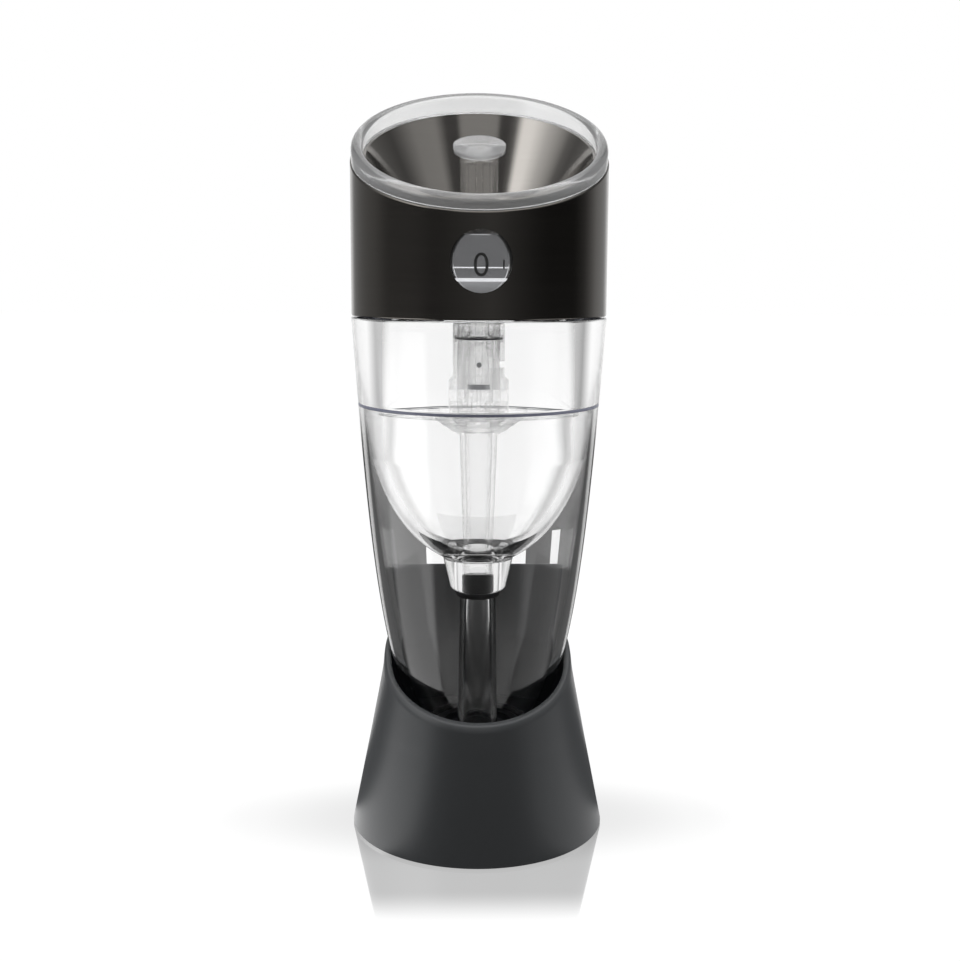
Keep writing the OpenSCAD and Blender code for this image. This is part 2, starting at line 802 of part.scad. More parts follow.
// Dark seal ring between the neck and the nozzle
module nozzle_seal() {
    color("#202226")
        translate([0, 0, nozzle_top_z + stack_clear])
            difference() {
                cylinder(r1 = nozzle_seal_r - neck_round, r2 = nozzle_seal_r, h = nozzle_seal_h);
                translate([0, 0, -slack])
                    cylinder(r = neck_bore_r, h = nozzle_seal_h + 2 * slack);
            }
}

// Ring behind the window that carries the numbers
module number_ring() {
    bore_r = spigot_r + fit_clear;
    color("#c9cbcd")
        translate([0, 0, number_flange_z]) {
            ring(number_ring_r, bore_r, number_ring_h);
            ring(number_ring_r + number_flange_w, bore_r, number_flange_t);
        }
}

// Printed numbers and half-step marks
module number_marks() {
    color("#141414")
        intersection() {
            union() {
                for (k = [0 : number_top])
                    on_number_ring(k)
                        digit(k);
                for (k = [0 : number_top - 1])
                    on_number_ring(k + 0.5)
                        square([digit_stroke, tick_h], center = true);
            }
            translate([0, 0, number_flange_z])
                ring(number_ring_r + print_t, number_ring_r - 2 * print_t, number_ring_h);
        }
}

// Stands a flat figure on the number ring, a number of steps from the front
module on_number_ring(steps) {
    rotate([0, 0, front_angle + steps * number_step])
        translate([number_ring_r - 1, 0, window_z - digit_drop])
            rotate([90, 0, 90])
                linear_extrude(2)
                    children();
}

// One plain figure, built from straight strokes round a round-ended nought
module digit(n) {
    x = digit_w / 2;
    y = digit_h / 2;
    top = [2, 3, 5];
    middle = [2, 3, 4, 5, 6];
    bottom = [2, 3, 5, 6];
    upper_left = [4, 5, 6];
    upper_right = [2, 3, 4];
    lower_left = [2, 6];
    lower_right = [3, 4, 5, 6];
    if (n == 0)
        difference() {
            round_bar(digit_w, digit_h);
            round_bar(digit_w - 2 * digit_stroke, digit_h - 2 * digit_stroke);
        }
    if (n == 1)
        square([digit_stroke, digit_h], center = true);
    if (holds(top, n))
        bar(-x, y - digit_stroke, digit_w, digit_stroke);
    if (holds(middle, n))
        bar(-x, -digit_stroke / 2, digit_w, digit_stroke);
    if (holds(bottom, n))
        bar(-x, -y, digit_w, digit_stroke);
    if (holds(upper_left, n))
        bar(-x, -digit_stroke / 2, digit_stroke, y + digit_stroke / 2);
    if (holds(upper_right, n))
        bar(x - digit_stroke, -digit_stroke / 2, digit_stroke, y + digit_stroke / 2);
    if (holds(lower_left, n))
        bar(-x, -y, digit_stroke, y + digit_stroke / 2);
    if (holds(lower_right, n))
        bar(x - digit_stroke, -y, digit_stroke, y + digit_stroke / 2);
}

// Whether a list holds a number
function holds(list, n) = len([for (v = list) if (v == n) v]) > 0;

// Stroke from its lower left corner
module bar(x, y, w, h) {
    translate([x, y])
        square([w, h]);
}

// Upright bar with round ends
module round_bar(w, h) {
    square([w, h - w], center = true);
    for (side = [-1, 1])
        translate([0, side * (h - w) / 2])
            circle(d = w, $fn = 48);
}

// Soft ring on the spigot that steadies the band
module glide_ring() {
    color("#2b2d30")
        translate([0, 0, glide_z])
            ring(band_bore_r - turn_clear, spigot_r + fit_clear, glide_h);
}

// Metal band with the number window
module dial_band() {
    color("#1d1c1b")
        difference() {
            translate([0, 0, band_z])
                ring(band_r, band_bore_r, band_axis_z + band_r - band_z);
            above_slant(band_axis_z, band_tilt);
            translate([0, 0, retainer_z - fit_clear])
                cylinder(r = band_bore_r + retainer_groove, h = retainer_h + 2 * fit_clear);
            window_cut(window_r);
        }
}

// Round hole through the front of the band
module window_cut(r) {
    translate([0, 0, window_z])
        rotate([90, 0, 0])
            cylinder(r = r, h = 2 * band_r);
}

// Curved clear pane in the number window
module window_pane() {
    outer_r = band_r - (band_wall - pane_t) / 2;
    color("#e6ebee", 0.3)
        intersection() {
            translate([0, 0, window_z - 2 * window_r])
                ring(outer_r, outer_r - pane_t, 4 * window_r);
            window_cut(window_r - fit_clear);
        }
}

// Clear cup that carries the lip and the funnel
module mouth_cup() {
    inner_wall_r = band_bore_r - fit_clear;
    tall = lip_axis_z + band_r - cup_low_z;
    color("#e6ebee", 0.35)
        difference() {
            union() {
                translate([0, 0, cup_low_z])
                    cylinder(r = inner_wall_r, h = tall);
                intersection() {
                    translate([0, 0, cup_low_z])
                        cylinder(r = lip_r, h = tall);
                    above_slant(band_axis_z + fit_clear, band_tilt);
                }
            }
            above_slant(lip_axis_z, lip_tilt);
            translate([0, 0, cup_low_z - slack])
                cylinder(r = mouth_bore_r, h = tall + 2 * slack);
        }
}

// Polished metal funnel: a slanted rim that runs down to a round drain
module funnel_liner() {
    color("#4b4947")
        difference() {
            hull() {
                slanted_disc(mouth_bore_r - fit_clear, funnel_axis_z, band_tilt);
                translate([0, 0, funnel_drain_z])
                    cylinder(r = funnel_drain_r + funnel_t, h = 0.01);
            }
            hull() {
                slanted_disc(mouth_bore_r - fit_clear - funnel_t, funnel_axis_z + 0.1, band_tilt);
                translate([0, 0, funnel_drain_z - 0.1])
                    cylinder(r = funnel_drain_r, h = 0.01);
            }
        }
}

// Tube under the funnel, with the ribs that carry the post
module drain_tube() {
    flange_top_z = funnel_drain_z - stack_clear;
    flange_low_z = flange_top_z - drain_flange_t;
    cone_low_z = flange_top_z - drain_taper_h - (drain_tube_r - drain_bore_r);
    tube_low_z = cam_low_z;
    rib_low_z = (tube_low_z + cone_low_z) / 2;
    rib_reach = (drain_bore_r + drain_tube_r) / 2 - stem_r - fit_clear;
    color("#dfe4e8", 0.4)
        difference() {
            union() {
                rotate_extrude()
                    polygon([
                        [drain_bore_r, tube_low_z],
                        [drain_tube_r, tube_low_z],
                        [drain_tube_r, cone_low_z],
                        [drain_flange_r, flange_low_z],
                        [drain_flange_r, flange_top_z],
                        [funnel_drain_r, flange_top_z],
                        [drain_bore_r, flange_top_z - drain_taper_h]
                    ]);
                around(3, -front_angle)
                    translate([stem_r + fit_clear, -post_rib_t / 2, rib_low_z])
                        cube([rib_reach, post_rib_t, post_rib_h]);
            }
            stop_pin_hole();
        }
}

// Hole for the stop pin in the drain tube
module stop_pin_hole() {
    rotate([0, 0, front_angle])
        translate([drain_bore_r - slack, 0, stop_pin_z])
            rotate([0, 90, 0])
                cylinder(r = stop_pin_r + fit_clear, h = collar_r, $fn = 48);
}

// Pin that runs in the collar's slot and stops the dial at its ends
module stop_pin() {
    color("#b9bbbe")
        rotate([0, 0, front_angle])
            translate([drain_bore_r, 0, stop_pin_z])
                rotate([0, 90, 0])
                    cylinder(r = stop_pin_r, h = collar_r - turn_clear - drain_bore_r, $fn = 48);
}

// Clear air post with its stem, bore and vents
module air_post() {
    shoulder_z = funnel_drain_z + post_shoulder_h;
    taper_h = post_r - stem_r;
    color("#e3e8eb", 0.4)
        difference() {
            rotate_extrude()
                polygon([
                    [post_bore_r, stem_low_z],
                    [stem_r, stem_low_z],
                    [stem_r, shoulder_z - taper_h],
                    [post_r, shoulder_z],
                    [post_r, cap_z + post_r],
                    [post_bore_r, cap_z + post_r]
                ]);
            above_slant(cap_z - (cap_t / 2 + fit_clear) / cos(lip_tilt), lip_tilt);
            around(4, 45)
                translate([0, 0, cap_z - vent_drop])
                    rotate([0, 90, 0])
                        cylinder(r = vent_r, h = 2 * post_r, $fn = 32);
        }
}

// Slanted disc on top of the post, plugged into its bore
module air_post_cap() {
    color("#e6ebee", 0.45) {
        translate([0, 0, cap_z])
            rotate([lip_tilt, 0, 0])
                translate([0, 0, -cap_t / 2])
                    cylinder(r = cap_r, h = cap_t);
        translate([0, 0, cap_z - vent_drop / 2])
            cylinder(r = post_bore_r - fit_clear, h = vent_drop / 2);
    }
}

// Off-centre disc under the stem that opens the air port as the dial turns
module metering_cam() {
    color("#a9acb0")
        rotate([0, 0, front_angle])
            translate([cam_offset, 0, cam_low_z])
                cylinder(r = cam_r, h = cam_t);
}

// Split ring that keeps the band on the number ring
module retaining_ring() {
    outer_r = band_bore_r + retainer_groove - fit_clear;
    color("#8f9194")
        translate([0, 0, retainer_z])
            rotate([0, 0, -front_angle + retainer_gap / 2])
                rotate_extrude(angle = 360 - retainer_gap)
                    translate([outer_r - retainer_w, 0])
                        square([retainer_w, retainer_h]);
}

stand_shell();
seat_ring();
drip_cup();
base_plate();
base_screws();
foot_ring();
outer_shell();
mixing_bowl();
seam_gasket();
upper_body();
divider_plate();
valve_body();
valve_seal();
air_ring();
mixing_tube();
nozzle();
nozzle_seal();
number_ring();
number_marks();
glide_ring();
dial_band();
mouth_cup();
funnel_liner();
drain_tube();
stop_pin();
air_post();
air_post_cap();
metering_cam();
window_pane();
retaining_ring();
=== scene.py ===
"""Looks of a wine aerator pourer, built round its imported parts. An add-on that also runs as a script."""

import math

import bmesh
import bpy
from bpy.props import FloatProperty, FloatVectorProperty, IntProperty, PointerProperty
from mathutils import Matrix, Vector


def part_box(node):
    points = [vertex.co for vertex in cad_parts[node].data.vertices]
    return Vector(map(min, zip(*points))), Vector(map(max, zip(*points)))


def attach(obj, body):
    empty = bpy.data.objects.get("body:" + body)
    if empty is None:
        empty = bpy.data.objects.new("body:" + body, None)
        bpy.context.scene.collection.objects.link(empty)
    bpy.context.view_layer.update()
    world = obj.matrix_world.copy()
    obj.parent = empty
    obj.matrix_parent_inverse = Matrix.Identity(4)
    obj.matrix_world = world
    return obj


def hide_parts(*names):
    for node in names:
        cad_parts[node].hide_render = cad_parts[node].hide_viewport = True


bl_info = {
    "name": "Wine aerator pourer",
    "version": (1, 0, 0),
    "blender": (4, 5, 0),
    "location": "3D View > Sidebar > Aerator",
    "description": "Builds the clear body, turning dial, funnel and stand of a wine aerator",
    "category": "Object",
}

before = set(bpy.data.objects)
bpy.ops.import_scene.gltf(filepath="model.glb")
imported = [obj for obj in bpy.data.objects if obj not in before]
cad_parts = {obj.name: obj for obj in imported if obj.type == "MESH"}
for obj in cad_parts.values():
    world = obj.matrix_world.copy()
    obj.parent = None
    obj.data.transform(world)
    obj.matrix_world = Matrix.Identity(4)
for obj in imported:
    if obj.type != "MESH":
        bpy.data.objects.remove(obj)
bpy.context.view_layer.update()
MM = 0.001

# Fineness of the meshes: steps of outlines and turns, and the distances under which points are merged
ROUND_SEGMENTS = 5
OUTLINE_STEPS = 48
UPPER_STEPS = 12
FUNNEL_STEPS = 24
STAND_STEPS = 240
BAND_STEPS = 256
WINDOW_STEPS = 96
MERGE = 0.0005 * MM
CAD_MERGE = 0.001 * MM
PRINT_MERGE = 0.002 * MM


def low(node):
    """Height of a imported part's lowest point, in millimetres."""
    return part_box(node)[0].z / MM


def high(node):
    """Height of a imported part's highest point, in millimetres."""
    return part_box(node)[1].z / MM


def reach(node):
    """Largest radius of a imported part, in millimetres."""
    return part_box(node)[1].x / MM


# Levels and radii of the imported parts, in millimetres
SEAT_Z = low("outer_shell")
SHELL_TOP_Z = high("outer_shell")
SEAM_TOP_Z = high("seam_gasket")
SEAM_R = reach("seam_gasket")
BAND_Z = low("dial_band")
BAND_R = reach("dial_band")
BODY_TOP_Z = BAND_Z - 0.3
SPIGOT_TOP_Z = high("upper_body")
PLATE_R = reach("divider_plate")
PLATE_LOW_Z = low("divider_plate")
NECK_END_Z = low("mixing_bowl")
TUBE_TOP_Z = high("mixing_tube")
TUBE_END_Z = low("mixing_tube")
NOZZLE_TOP_Z = high("nozzle")
NOZZLE_END_Z = low("nozzle")
SEAL_LOW_Z = low("nozzle_seal")
SEAL_TOP_Z = high("nozzle_seal")
SEAL_R = reach("nozzle_seal")
CUP_LOW_Z = low("mouth_cup")
FUNNEL_LOW_Z = low("funnel_liner")
RING_LOW_Z = low("number_ring")
RING_TOP_Z = high("number_ring")
FOOT_Z = low("stand_shell")
BACK_Z = high("stand_shell")
BASE_R = reach("stand_shell")

# Gaps and small roundings that several pieces share, in millimetres
FIT_GAP = 0.1
BOND_GAP = 0.05
HAIR_EDGE = 0.05
FINE_EDGE = 0.1
SMALL_EDGE = 0.15
BORE_EDGE = 0.2
SOFT_EDGE = 0.3

# Outline of the clear body, lengths in millimetres
BODY_R = 28.6
BODY_TAPER = 0.07
BODY_CLOSE = 3.3
BODY_DEPTH_POWER = 3.6
BODY_RADIUS_POWER = 4
UPPER_BORE_R = 23.2
BORE_STEP_Z = BODY_TOP_Z + 0.8
CHAMBER_R = 21.7
CHAMBER_TOP_Z = BODY_TOP_Z - 0.4
SPIGOT_R = 25.4
SEAM_W = 1.2

# Bowl, neck, tube, nozzle and their seals, in millimetres
BOWL_R = 25.6
BOWL_H = 37
BOWL_RIM_H = 2
BOWL_RIM_DRAFT = 0.15
LEDGE_W = 1.2
NECK_TOP_R = 8.2
NECK_TOP_ROUND = 0.5
NECK_END_R = 6.35
NECK_BORE_R = 3.6
TUBE_COLLAR_R = 5
TUBE_COLLAR_Z = TUBE_TOP_Z - 0.6
TUBE_TOP_R = 4.3
TUBE_TOP_BORE_R = 3.2
TUBE_STRAIGHT_Z = NECK_END_Z + 10
TUBE_END_R = 3.5
TUBE_END_BORE_R = 2.5
DRAIN_TUBE_R = 4.85
NOZZLE_R = 4.1
NOZZLE_NECK_Z = SEAL_LOW_Z - FIT_GAP
NOZZLE_END_R = 4.75
NOZZLE_BORE_R = 2.5
NOZZLE_MOUTH_R = 3.4
SEAL_FOOT_R = SEAL_R - 0.8
SLEEVE_R = NECK_BORE_R - 0.02
SLEEVE_BORE_R = TUBE_END_R + 0.02
SLEEVE_TOP_Z = SEAL_TOP_Z + 4.6
VALVE_SEAL_R = reach("valve_seal")
VALVE_SEAL_Z = (low("valve_seal") + high("valve_seal")) / 2
VALVE_SEAL_H = 0.4

# Slanted mouth, in millimetres
BAND_WALL = 1.1
BAND_FRONT_Z = BAND_Z + 21.8
LIP_R = BAND_R - 0.2
MOUTH_BORE_R = LIP_R - 2.6
LIP_FRONT_Z = BAND_FRONT_Z + 3.5
FUNNEL_RIM_H = 0.6
FUNNEL_RIM_R = MOUTH_BORE_R - BOND_GAP
FUNNEL_DRAIN_R = 6.3
FUNNEL_T = 0.6

# Window and the ring with the numbers behind it, lengths in millimetres
WINDOW_Z = BAND_Z + 12
WINDOW_R = 6.4
DRILL_L = 20
PANE_T = 0.45
PANE_R = BAND_R - 0.25
PANE_RINGS = 14
PANE_RING_W = 0.42
NUMBERS_Z = WINDOW_Z - 0.7
NUMBER_RING_R = 26.6
NUMBER_BORE_R = 25.45
FLANGE_R = NUMBER_RING_R + 0.45
FLANGE_TOP_Z = RING_LOW_Z + 0.8
RIDGE_R = NUMBER_RING_R + 0.5
RIDGE_TOP_R = RIDGE_R - 0.12
RIDGE_DROP = 1.0
RIDGE_FALL = 0.6
PANEL_LOW_R = NUMBER_RING_R + 0.06
BEAD_R = NUMBER_RING_R + 0.05
BEAD_Z = NUMBERS_Z - 0.75
BEAD_TOP_Z = BEAD_Z + 0.25
LAST_NUMBER = 6
NUMBER_STEP = math.radians(20)
STROKE_TRIM = -0.006
TICK_W = 0.3
INK_T = 0.06
INK_LIFT = 0.07

# Stand, lengths in millimetres
CONE_TAPER = 0.2
SOCKET_CLEAR = 0.25
FLARE_BLEND = 1
BACK_WALL = 1.2
RIM_WALL = 1.5
RIM_MIN_W = 0.2
FOOT_WALL = 2.4
SHELF_TOP_Z = low("seat_ring")
SHELF_LOW_Z = SHELF_TOP_Z - 2.4
DRIP_HOLE_R = 8.6
RIM_FRONT_Z = 30.5
RISE_START_Y = 6
RISE_END_Y = 9.5
BACK_SLANT = math.tan(math.radians(12))

# Acrylic: how it bends light, the depth of its waves in millimetres, what goes straight through a thin wall
# and what goes through of the lamps' light
ACRYLIC_IOR = 1.49
ACRYLIC_WAVE_H = 0.05
ACRYLIC_THIN = (0.985, 0.985, 0.985, 1)
ACRYLIC_SHADE = (0.54, 0.55, 0.56, 1)

# Other finishes: how much the grain changes the gloss and the height, and stretches into lines round the axis
GRAIN_GLOSS = 0.15
GRAIN_BUMP = 0.5
ROUND_LINES = (0.03, 0.03, 1)
SHORT_LINES = (0.05, 0.05, 1)


def linear(code):
    """Linear colour with full alpha from an sRGB hex code."""
    shares = [int(code[i:i + 2], 16) / 255 for i in (1, 3, 5)]
    return tuple(s / 12.92 if s <= 0.04045 else ((s + 0.055) / 1.055) ** 2.4 for s in shares) + (1.0,)


def length(name, description, default_mm):
    """A length property, given in millimetres and held in metres."""
    return FloatProperty(name=name, description=description, default=default_mm * MM, min=0, precision=5,
                         unit="LENGTH")


def tilting(name, description, degrees):
    """An angle property, given in degrees and held in radians."""
    return FloatProperty(name=name, description=description, default=math.radians(degrees), subtype="ANGLE")


def colour(name, description, code):
    """A colour property, given as a hex code."""
    return FloatVectorProperty(name=name, description=description, default=linear(code), size=4, min=0,
                               max=1, subtype="COLOR")


class AeratorSizes(bpy.types.PropertyGroup):
    """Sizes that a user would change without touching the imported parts."""
    band_tilt: tilting("Band slant", "Slant of the band's top edge", 24)
    lip_tilt: tilting("Lip slant", "Slant of the clear lip", 25.8)
    rim_tilt: tilting("Stand rim slant", "Slant of the stand's rim at the front", 23.3)
    shell_wall_top: length("Shell wall at the top", "Wall of the lower shell at its top", 1.2)
    shell_wall_bottom: length("Shell wall at the bottom", "Wall of the lower shell at its bottom rim", 2.6)
    bowl_wall: length("Bowl wall", "Wall of the bowl", 2.8)
    moulded_edge: length("Moulded edge", "Rounding of the clear parts' corners", 0.35)
    lip_round: length("Lip rounding", "Rounding of the lip's crest", 1.25)
    band_edge: length("Band edge", "Rounding of the band's edges", 0.25)
    stand_rim_round: length("Stand rim rounding", "Rounding of the stand's rim", 1.1)
    digit_height: length("Number height", "Height of a printed number", 4.8)
    digit_width: length("Number width", "Width of a printed number", 3.0)
    tick_height: length("Mark height", "Height of a half-step mark", 1.9)
    round_steps: IntProperty(name="Steps round", description="Steps of a full turn", default=192, min=32,
                             max=512)


class AeratorFinishes(bpy.types.PropertyGroup):
    """Colours that a user would change."""
    acrylic: colour("Acrylic", "Tint of the clear acrylic", "#fefefe")
    stand: colour("Stand", "Moulded stand", "#484a4c")
    band: colour("Band", "Plated band", "#65625e")
    funnel: colour("Funnel", "Polished funnel", "#8f8c88")
    seam: colour("Seam", "Silicone seam gasket", "#a9acc2")
    rubber: colour("Rubber", "Seals and feet", "#1b1c1f")
    number_plate: colour("Number plate", "Ring behind the window", "#e4e5e8")
    ink: colour("Ink", "Printed numbers", "#121212")
    inner_plastic: colour("Inner plastic", "Base plate and drip cup", "#2c2d30")
    zinc: colour("Zinc", "Screws, pin and rings", "#b9bbbe")


# Shapes

def merge(shape, distance):
    """Merges the points of a shape that are closer than a distance."""
    bmesh.ops.remove_doubles(shape, verts=shape.verts[:], dist=distance)


def face_out(shape):
    """Turns the faces of a shape outwards."""
    bmesh.ops.recalc_face_normals(shape, faces=shape.faces[:])


def body_radius(z):
    """Outer radius of the clear body at a height, in millimetres."""
    depth = BODY_TOP_Z - z
    close = BODY_TOP_Z - SEAT_Z + BODY_CLOSE
    shrink = max(0.0, 1 - (depth / close) ** BODY_DEPTH_POWER)
    return (BODY_R - BODY_TAPER * depth) * shrink ** (1 / BODY_RADIUS_POWER)


def heights(bottom, top, steps, crowding=1.6):
    """Heights from the bottom to the top, closer together near the bottom."""
    return [bottom + (top - bottom) * (i / steps) ** crowding for i in range(steps + 1)]


def bowl_arc(radius, depth, start, end):
    """Points of an elliptical bowl between two angles below its rim."""
    angles = [start + (end - start) * i / OUTLINE_STEPS for i in range(OUTLINE_STEPS + 1)]
    return [(radius * math.cos(a), SHELL_TOP_Z - depth * math.sin(a)) for a in angles]


def spun(points, steps):
    """A closed outline spun round the axis.

    A point is radius, height, rounding and a tag that later moves read. The last two may be left out.
    """
    shape = bmesh.new()
    tag = shape.verts.layers.float.new("tag")
    corners = {}
    ring = []
    for point in points:
        radius, height, rounding, mark = (*point, 0, 0)[:4]
        vert = shape.verts.new((radius * MM, 0, height * MM))
        vert[tag] = mark
        ring.append(vert)
        if rounding > 0:
            corners.setdefault(rounding, []).append(vert)
    for start, end in zip(ring, ring[1:] + ring[:1]):
        shape.edges.new((start, end))
    for rounding, verts in corners.items():
        bmesh.ops.bevel(shape, geom=verts, offset=rounding * MM, affect="VERTICES", segments=ROUND_SEGMENTS,
                        profile=0.5, material=-1)
    bmesh.ops.spin(shape, geom=shape.verts[:] + shape.edges[:], cent=(0, 0, 0), axis=(0, 0, 1),
                   angle=math.tau, steps=steps, use_merge=True)
    merge(shape, MERGE)
    face_out(shape)
    return shape


def slant(shape, wanted, front_r, tilt):
    """Tilts the points with a tag up to the back, round a line that touches their front."""
    tag = shape.verts.layers.float["tag"]
    for vert in shape.verts:
        if vert[tag] == wanted:
            vert.co.z += (front_r * MM + vert.co.y) * math.tan(tilt)


def cad_copy(node):
    """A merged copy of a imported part's mesh."""
    shape = bmesh.new()
    shape.from_mesh(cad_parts[node].data)
    merge(shape, CAD_MERGE)
    return shape


def link(made):
    """Links an object to the scene."""
    bpy.context.scene.collection.objects.link(made)


def new_object(shape, name):
    """An object made of a shape, linked to the scene."""
    mesh = bpy.data.meshes.new(name)
    shape.to_mesh(mesh)
    shape.free()
    made = bpy.data.objects.new(name, mesh)
    link(made)
    return made


def as_seen(holder):
    """The shape of an object as its modifiers or its lettering make it."""
    seen = holder.evaluated_get(bpy.context.evaluated_depsgraph_get())
    shape = bmesh.new()
    shape.from_mesh(seen.to_mesh())
    seen.to_mesh_clear()
    return shape


def place(shape, name, body, finish, nodes, crease=40):
    """Makes a piece of a shape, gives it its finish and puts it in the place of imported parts."""
    piece = new_object(shape, name)
    piece.data.shade_smooth()
    piece.data.set_sharp_from_angle(angle=math.radians(crease))
    piece.data.materials.append(bpy.data.materials[finish])
    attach(piece, body)
    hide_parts(*nodes)


def place_clear(shape, name, body, node, finish="acrylic_moulded_clear", crease=40):
    """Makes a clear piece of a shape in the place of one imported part."""
    place(shape, name, body, finish, [node], crease)


def dress(finish, *nodes):
    """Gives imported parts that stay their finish."""
    for node in nodes:
        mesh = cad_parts[node].data
        mesh.materials.clear()
        mesh.materials.append(bpy.data.materials[finish])


def cut_hole(shape, cutter):
    """The shape with the cutter taken off it."""
    objects = [new_object(part, "cutting") for part in (shape, cutter)]
    boolean = objects[0].modifiers.new("hole", "BOOLEAN")
    boolean.operation = "DIFFERENCE"
    boolean.solver = "EXACT"
    boolean.object = objects[1]
    cut = as_seen(objects[0])
    for part in objects:
        mesh = part.data
        bpy.data.objects.remove(part)
        bpy.data.meshes.remove(mesh)
    return cut


# Finishes

def add_node(tree, kind, inputs=None, **settings):
    """Adds a shader node, with its settings and its inputs as values, sockets or nodes to link."""
    added = tree.nodes.new("ShaderNode" + kind)
    for key, value in settings.items():
        setattr(added, key, value)
    for key, value in (inputs or {}).items():
        if isinstance(value, bpy.types.Node):
            value = value.outputs[0]
        if isinstance(value, bpy.types.NodeSocket):
            tree.links.new(value, added.inputs[key])
        else:
            added.inputs[key].default_value = value
    return added


def new_finish(name):
    """The node tree of a new material, and its object coordinates."""
    material = bpy.data.materials.new(name)
    material.use_nodes = True
    tree = material.node_tree
    tree.nodes.clear()
    return tree, add_node(tree, "TexCoord").outputs["Object"]


def per_metre(size_mm):
    """Texture scale for a pattern of a size in millimetres."""
    return 1 / (size_mm * MM)


def make_acrylic(name, tint, roughness=0.0, wave_mm=14, wave_strength=0.08, clear=1.0, edge=0.0):
    """Clear moulded acrylic: sharp to look through, with slow waves where the melt flowed.

    A thin wall has an edge share: it is looked straight through and only bends light towards its edges.
    """
    tree, spot = new_finish(name)
    waves = add_node(tree, "TexNoise", {"Vector": spot, "Scale": per_metre(wave_mm), "Detail": 1.0})
    bump = add_node(tree, "Bump", {
        "Height": waves.outputs["Fac"], "Strength": wave_strength, "Distance": ACRYLIC_WAVE_H * MM})
    glass = add_node(tree, "BsdfPrincipled", {
        "Base Color": tint, "Roughness": roughness, "IOR": ACRYLIC_IOR, "Transmission Weight": clear,
        "Normal": bump.outputs["Normal"]})
    if edge > 0:
        turned = add_node(tree, "LayerWeight", {"Blend": edge}).outputs["Facing"]
        straight = add_node(tree, "BsdfTransparent", {"Color": ACRYLIC_THIN})
        glass = add_node(tree, "MixShader", {0: turned, 1: straight, 2: glass})
    lamp_light = add_node(tree, "BsdfTransparent", {"Color": ACRYLIC_SHADE})
    path = add_node(tree, "LightPath")
    surface = add_node(tree, "MixShader", {0: path.outputs["Is Shadow Ray"], 1: glass, 2: lamp_light})
    add_node(tree, "OutputMaterial", {"Surface": surface})


class AERATOR_OT_finishes(bpy.types.Operator):
    """Make the materials of the aerator and its stand"""
    bl_idname = "aerator.finishes"
    bl_label = "Finishes"

    def execute(self, context):
        tints = context.scene.aerator_finishes
        # Clear moulded acrylic
        make_acrylic("acrylic_moulded_clear", tints.acrylic)
        # Moulded acrylic of the post's cap: milky, with small waves
        make_acrylic("acrylic_cap_milky", tints.acrylic, roughness=0.08, wave_mm=3, wave_strength=0.1,
                     clear=0.7)
        # Moulded acrylic of the thin inner parts: clear, with outlines that show
        make_acrylic("acrylic_thin_clear", tints.acrylic, roughness=0.02, edge=0.2)
        # Moulded acrylic of the thick lip: a little hazy
        make_acrylic("acrylic_lip_clear", tints.acrylic, roughness=0.06, clear=0.78)
        # Moulded ABS with a fine spark-eroded texture: soft broad sheen, the grit drawn at 0.35 mm to show
        self.solid("abs_spark_textured", tints.stand, 0.36, grain_mm=0.35, depth_mm=0.012, spread=0.06)
        # Black-plated steel, polished: dark mirror with faint polishing lines round the band
        self.solid("steel_black_plated", tints.band, 0.17, grain_mm=0.5, depth_mm=0.0015, spread=0.05,
                   metallic=1, stretch=ROUND_LINES)
        # Spun steel under a thin dark plating, polished: clear reflections with fine rings from spinning
        self.solid("steel_gunmetal_polished", tints.funnel, 0.1, grain_mm=0.6, depth_mm=0.001, spread=0.03,
                   metallic=1, stretch=ROUND_LINES)
        # Silicone: satin and partly see-through
        self.solid("silicone_blue_grey", tints.seam, 0.35, grain_mm=1.2, depth_mm=0.003, spread=0.05,
                   clear=0.25)
        # Moulded rubber: matt, with a fine mould texture
        self.solid("rubber_moulded", tints.rubber, 0.6, grain_mm=0.4, depth_mm=0.01, spread=0.08)
        # Satin silver plating on the number ring
        self.solid("plate_satin_silver", tints.number_plate, 0.12, grain_mm=0.8, depth_mm=0.002, spread=0.03,
                   metallic=0.9, stretch=SHORT_LINES)
        # Screen-printing ink: flat black
        self.solid("ink_printed_black", tints.ink, 0.5, grain_mm=0.3, depth_mm=0.002, spread=0.05)
        # Moulded ABS without a texture: dull sheen
        self.solid("abs_moulded_dark", tints.inner_plastic, 0.4, grain_mm=2.0, depth_mm=0.004, spread=0.05)
        # Zinc-plated steel: pale grey with blotchy crystals
        self.solid("steel_zinc_plated", tints.zinc, 0.3, grain_mm=0.7, depth_mm=0.002, spread=0.08,
                   metallic=1)
        return {"FINISHED"}

    def solid(self, name, tint, roughness, grain_mm, depth_mm, spread, metallic=0, stretch=(1, 1, 1),
              clear=0.0):
        """A finish of one colour with a grain in its tone, its roughness and its height."""
        tree, spot = new_finish(name)
        along = add_node(tree, "Mapping", {"Vector": spot, "Scale": stretch})
        grain = add_node(tree, "TexNoise", {
            "Vector": along, "Scale": per_metre(grain_mm), "Detail": 3.0}).outputs["Fac"]
        tone = add_node(tree, "ValToRGB", {"Fac": grain})
        for stop, share in zip(tone.color_ramp.elements, (1 - spread, 1 + spread)):
            stop.color = [min(1, c * share) for c in tint[:3]] + [1]
        gloss = add_node(tree, "MapRange", {
            "Value": grain, "To Min": roughness * (1 - GRAIN_GLOSS), "To Max": roughness * (1 + GRAIN_GLOSS)})
        bump = add_node(tree, "Bump", {"Height": grain, "Strength": GRAIN_BUMP, "Distance": depth_mm * MM})
        shader = add_node(tree, "BsdfPrincipled", {
            "Base Color": tone.outputs["Color"], "Metallic": metallic, "Roughness": gloss,
            "Transmission Weight": clear, "Normal": bump.outputs["Normal"]})
        add_node(tree, "OutputMaterial", {"Surface": shader})


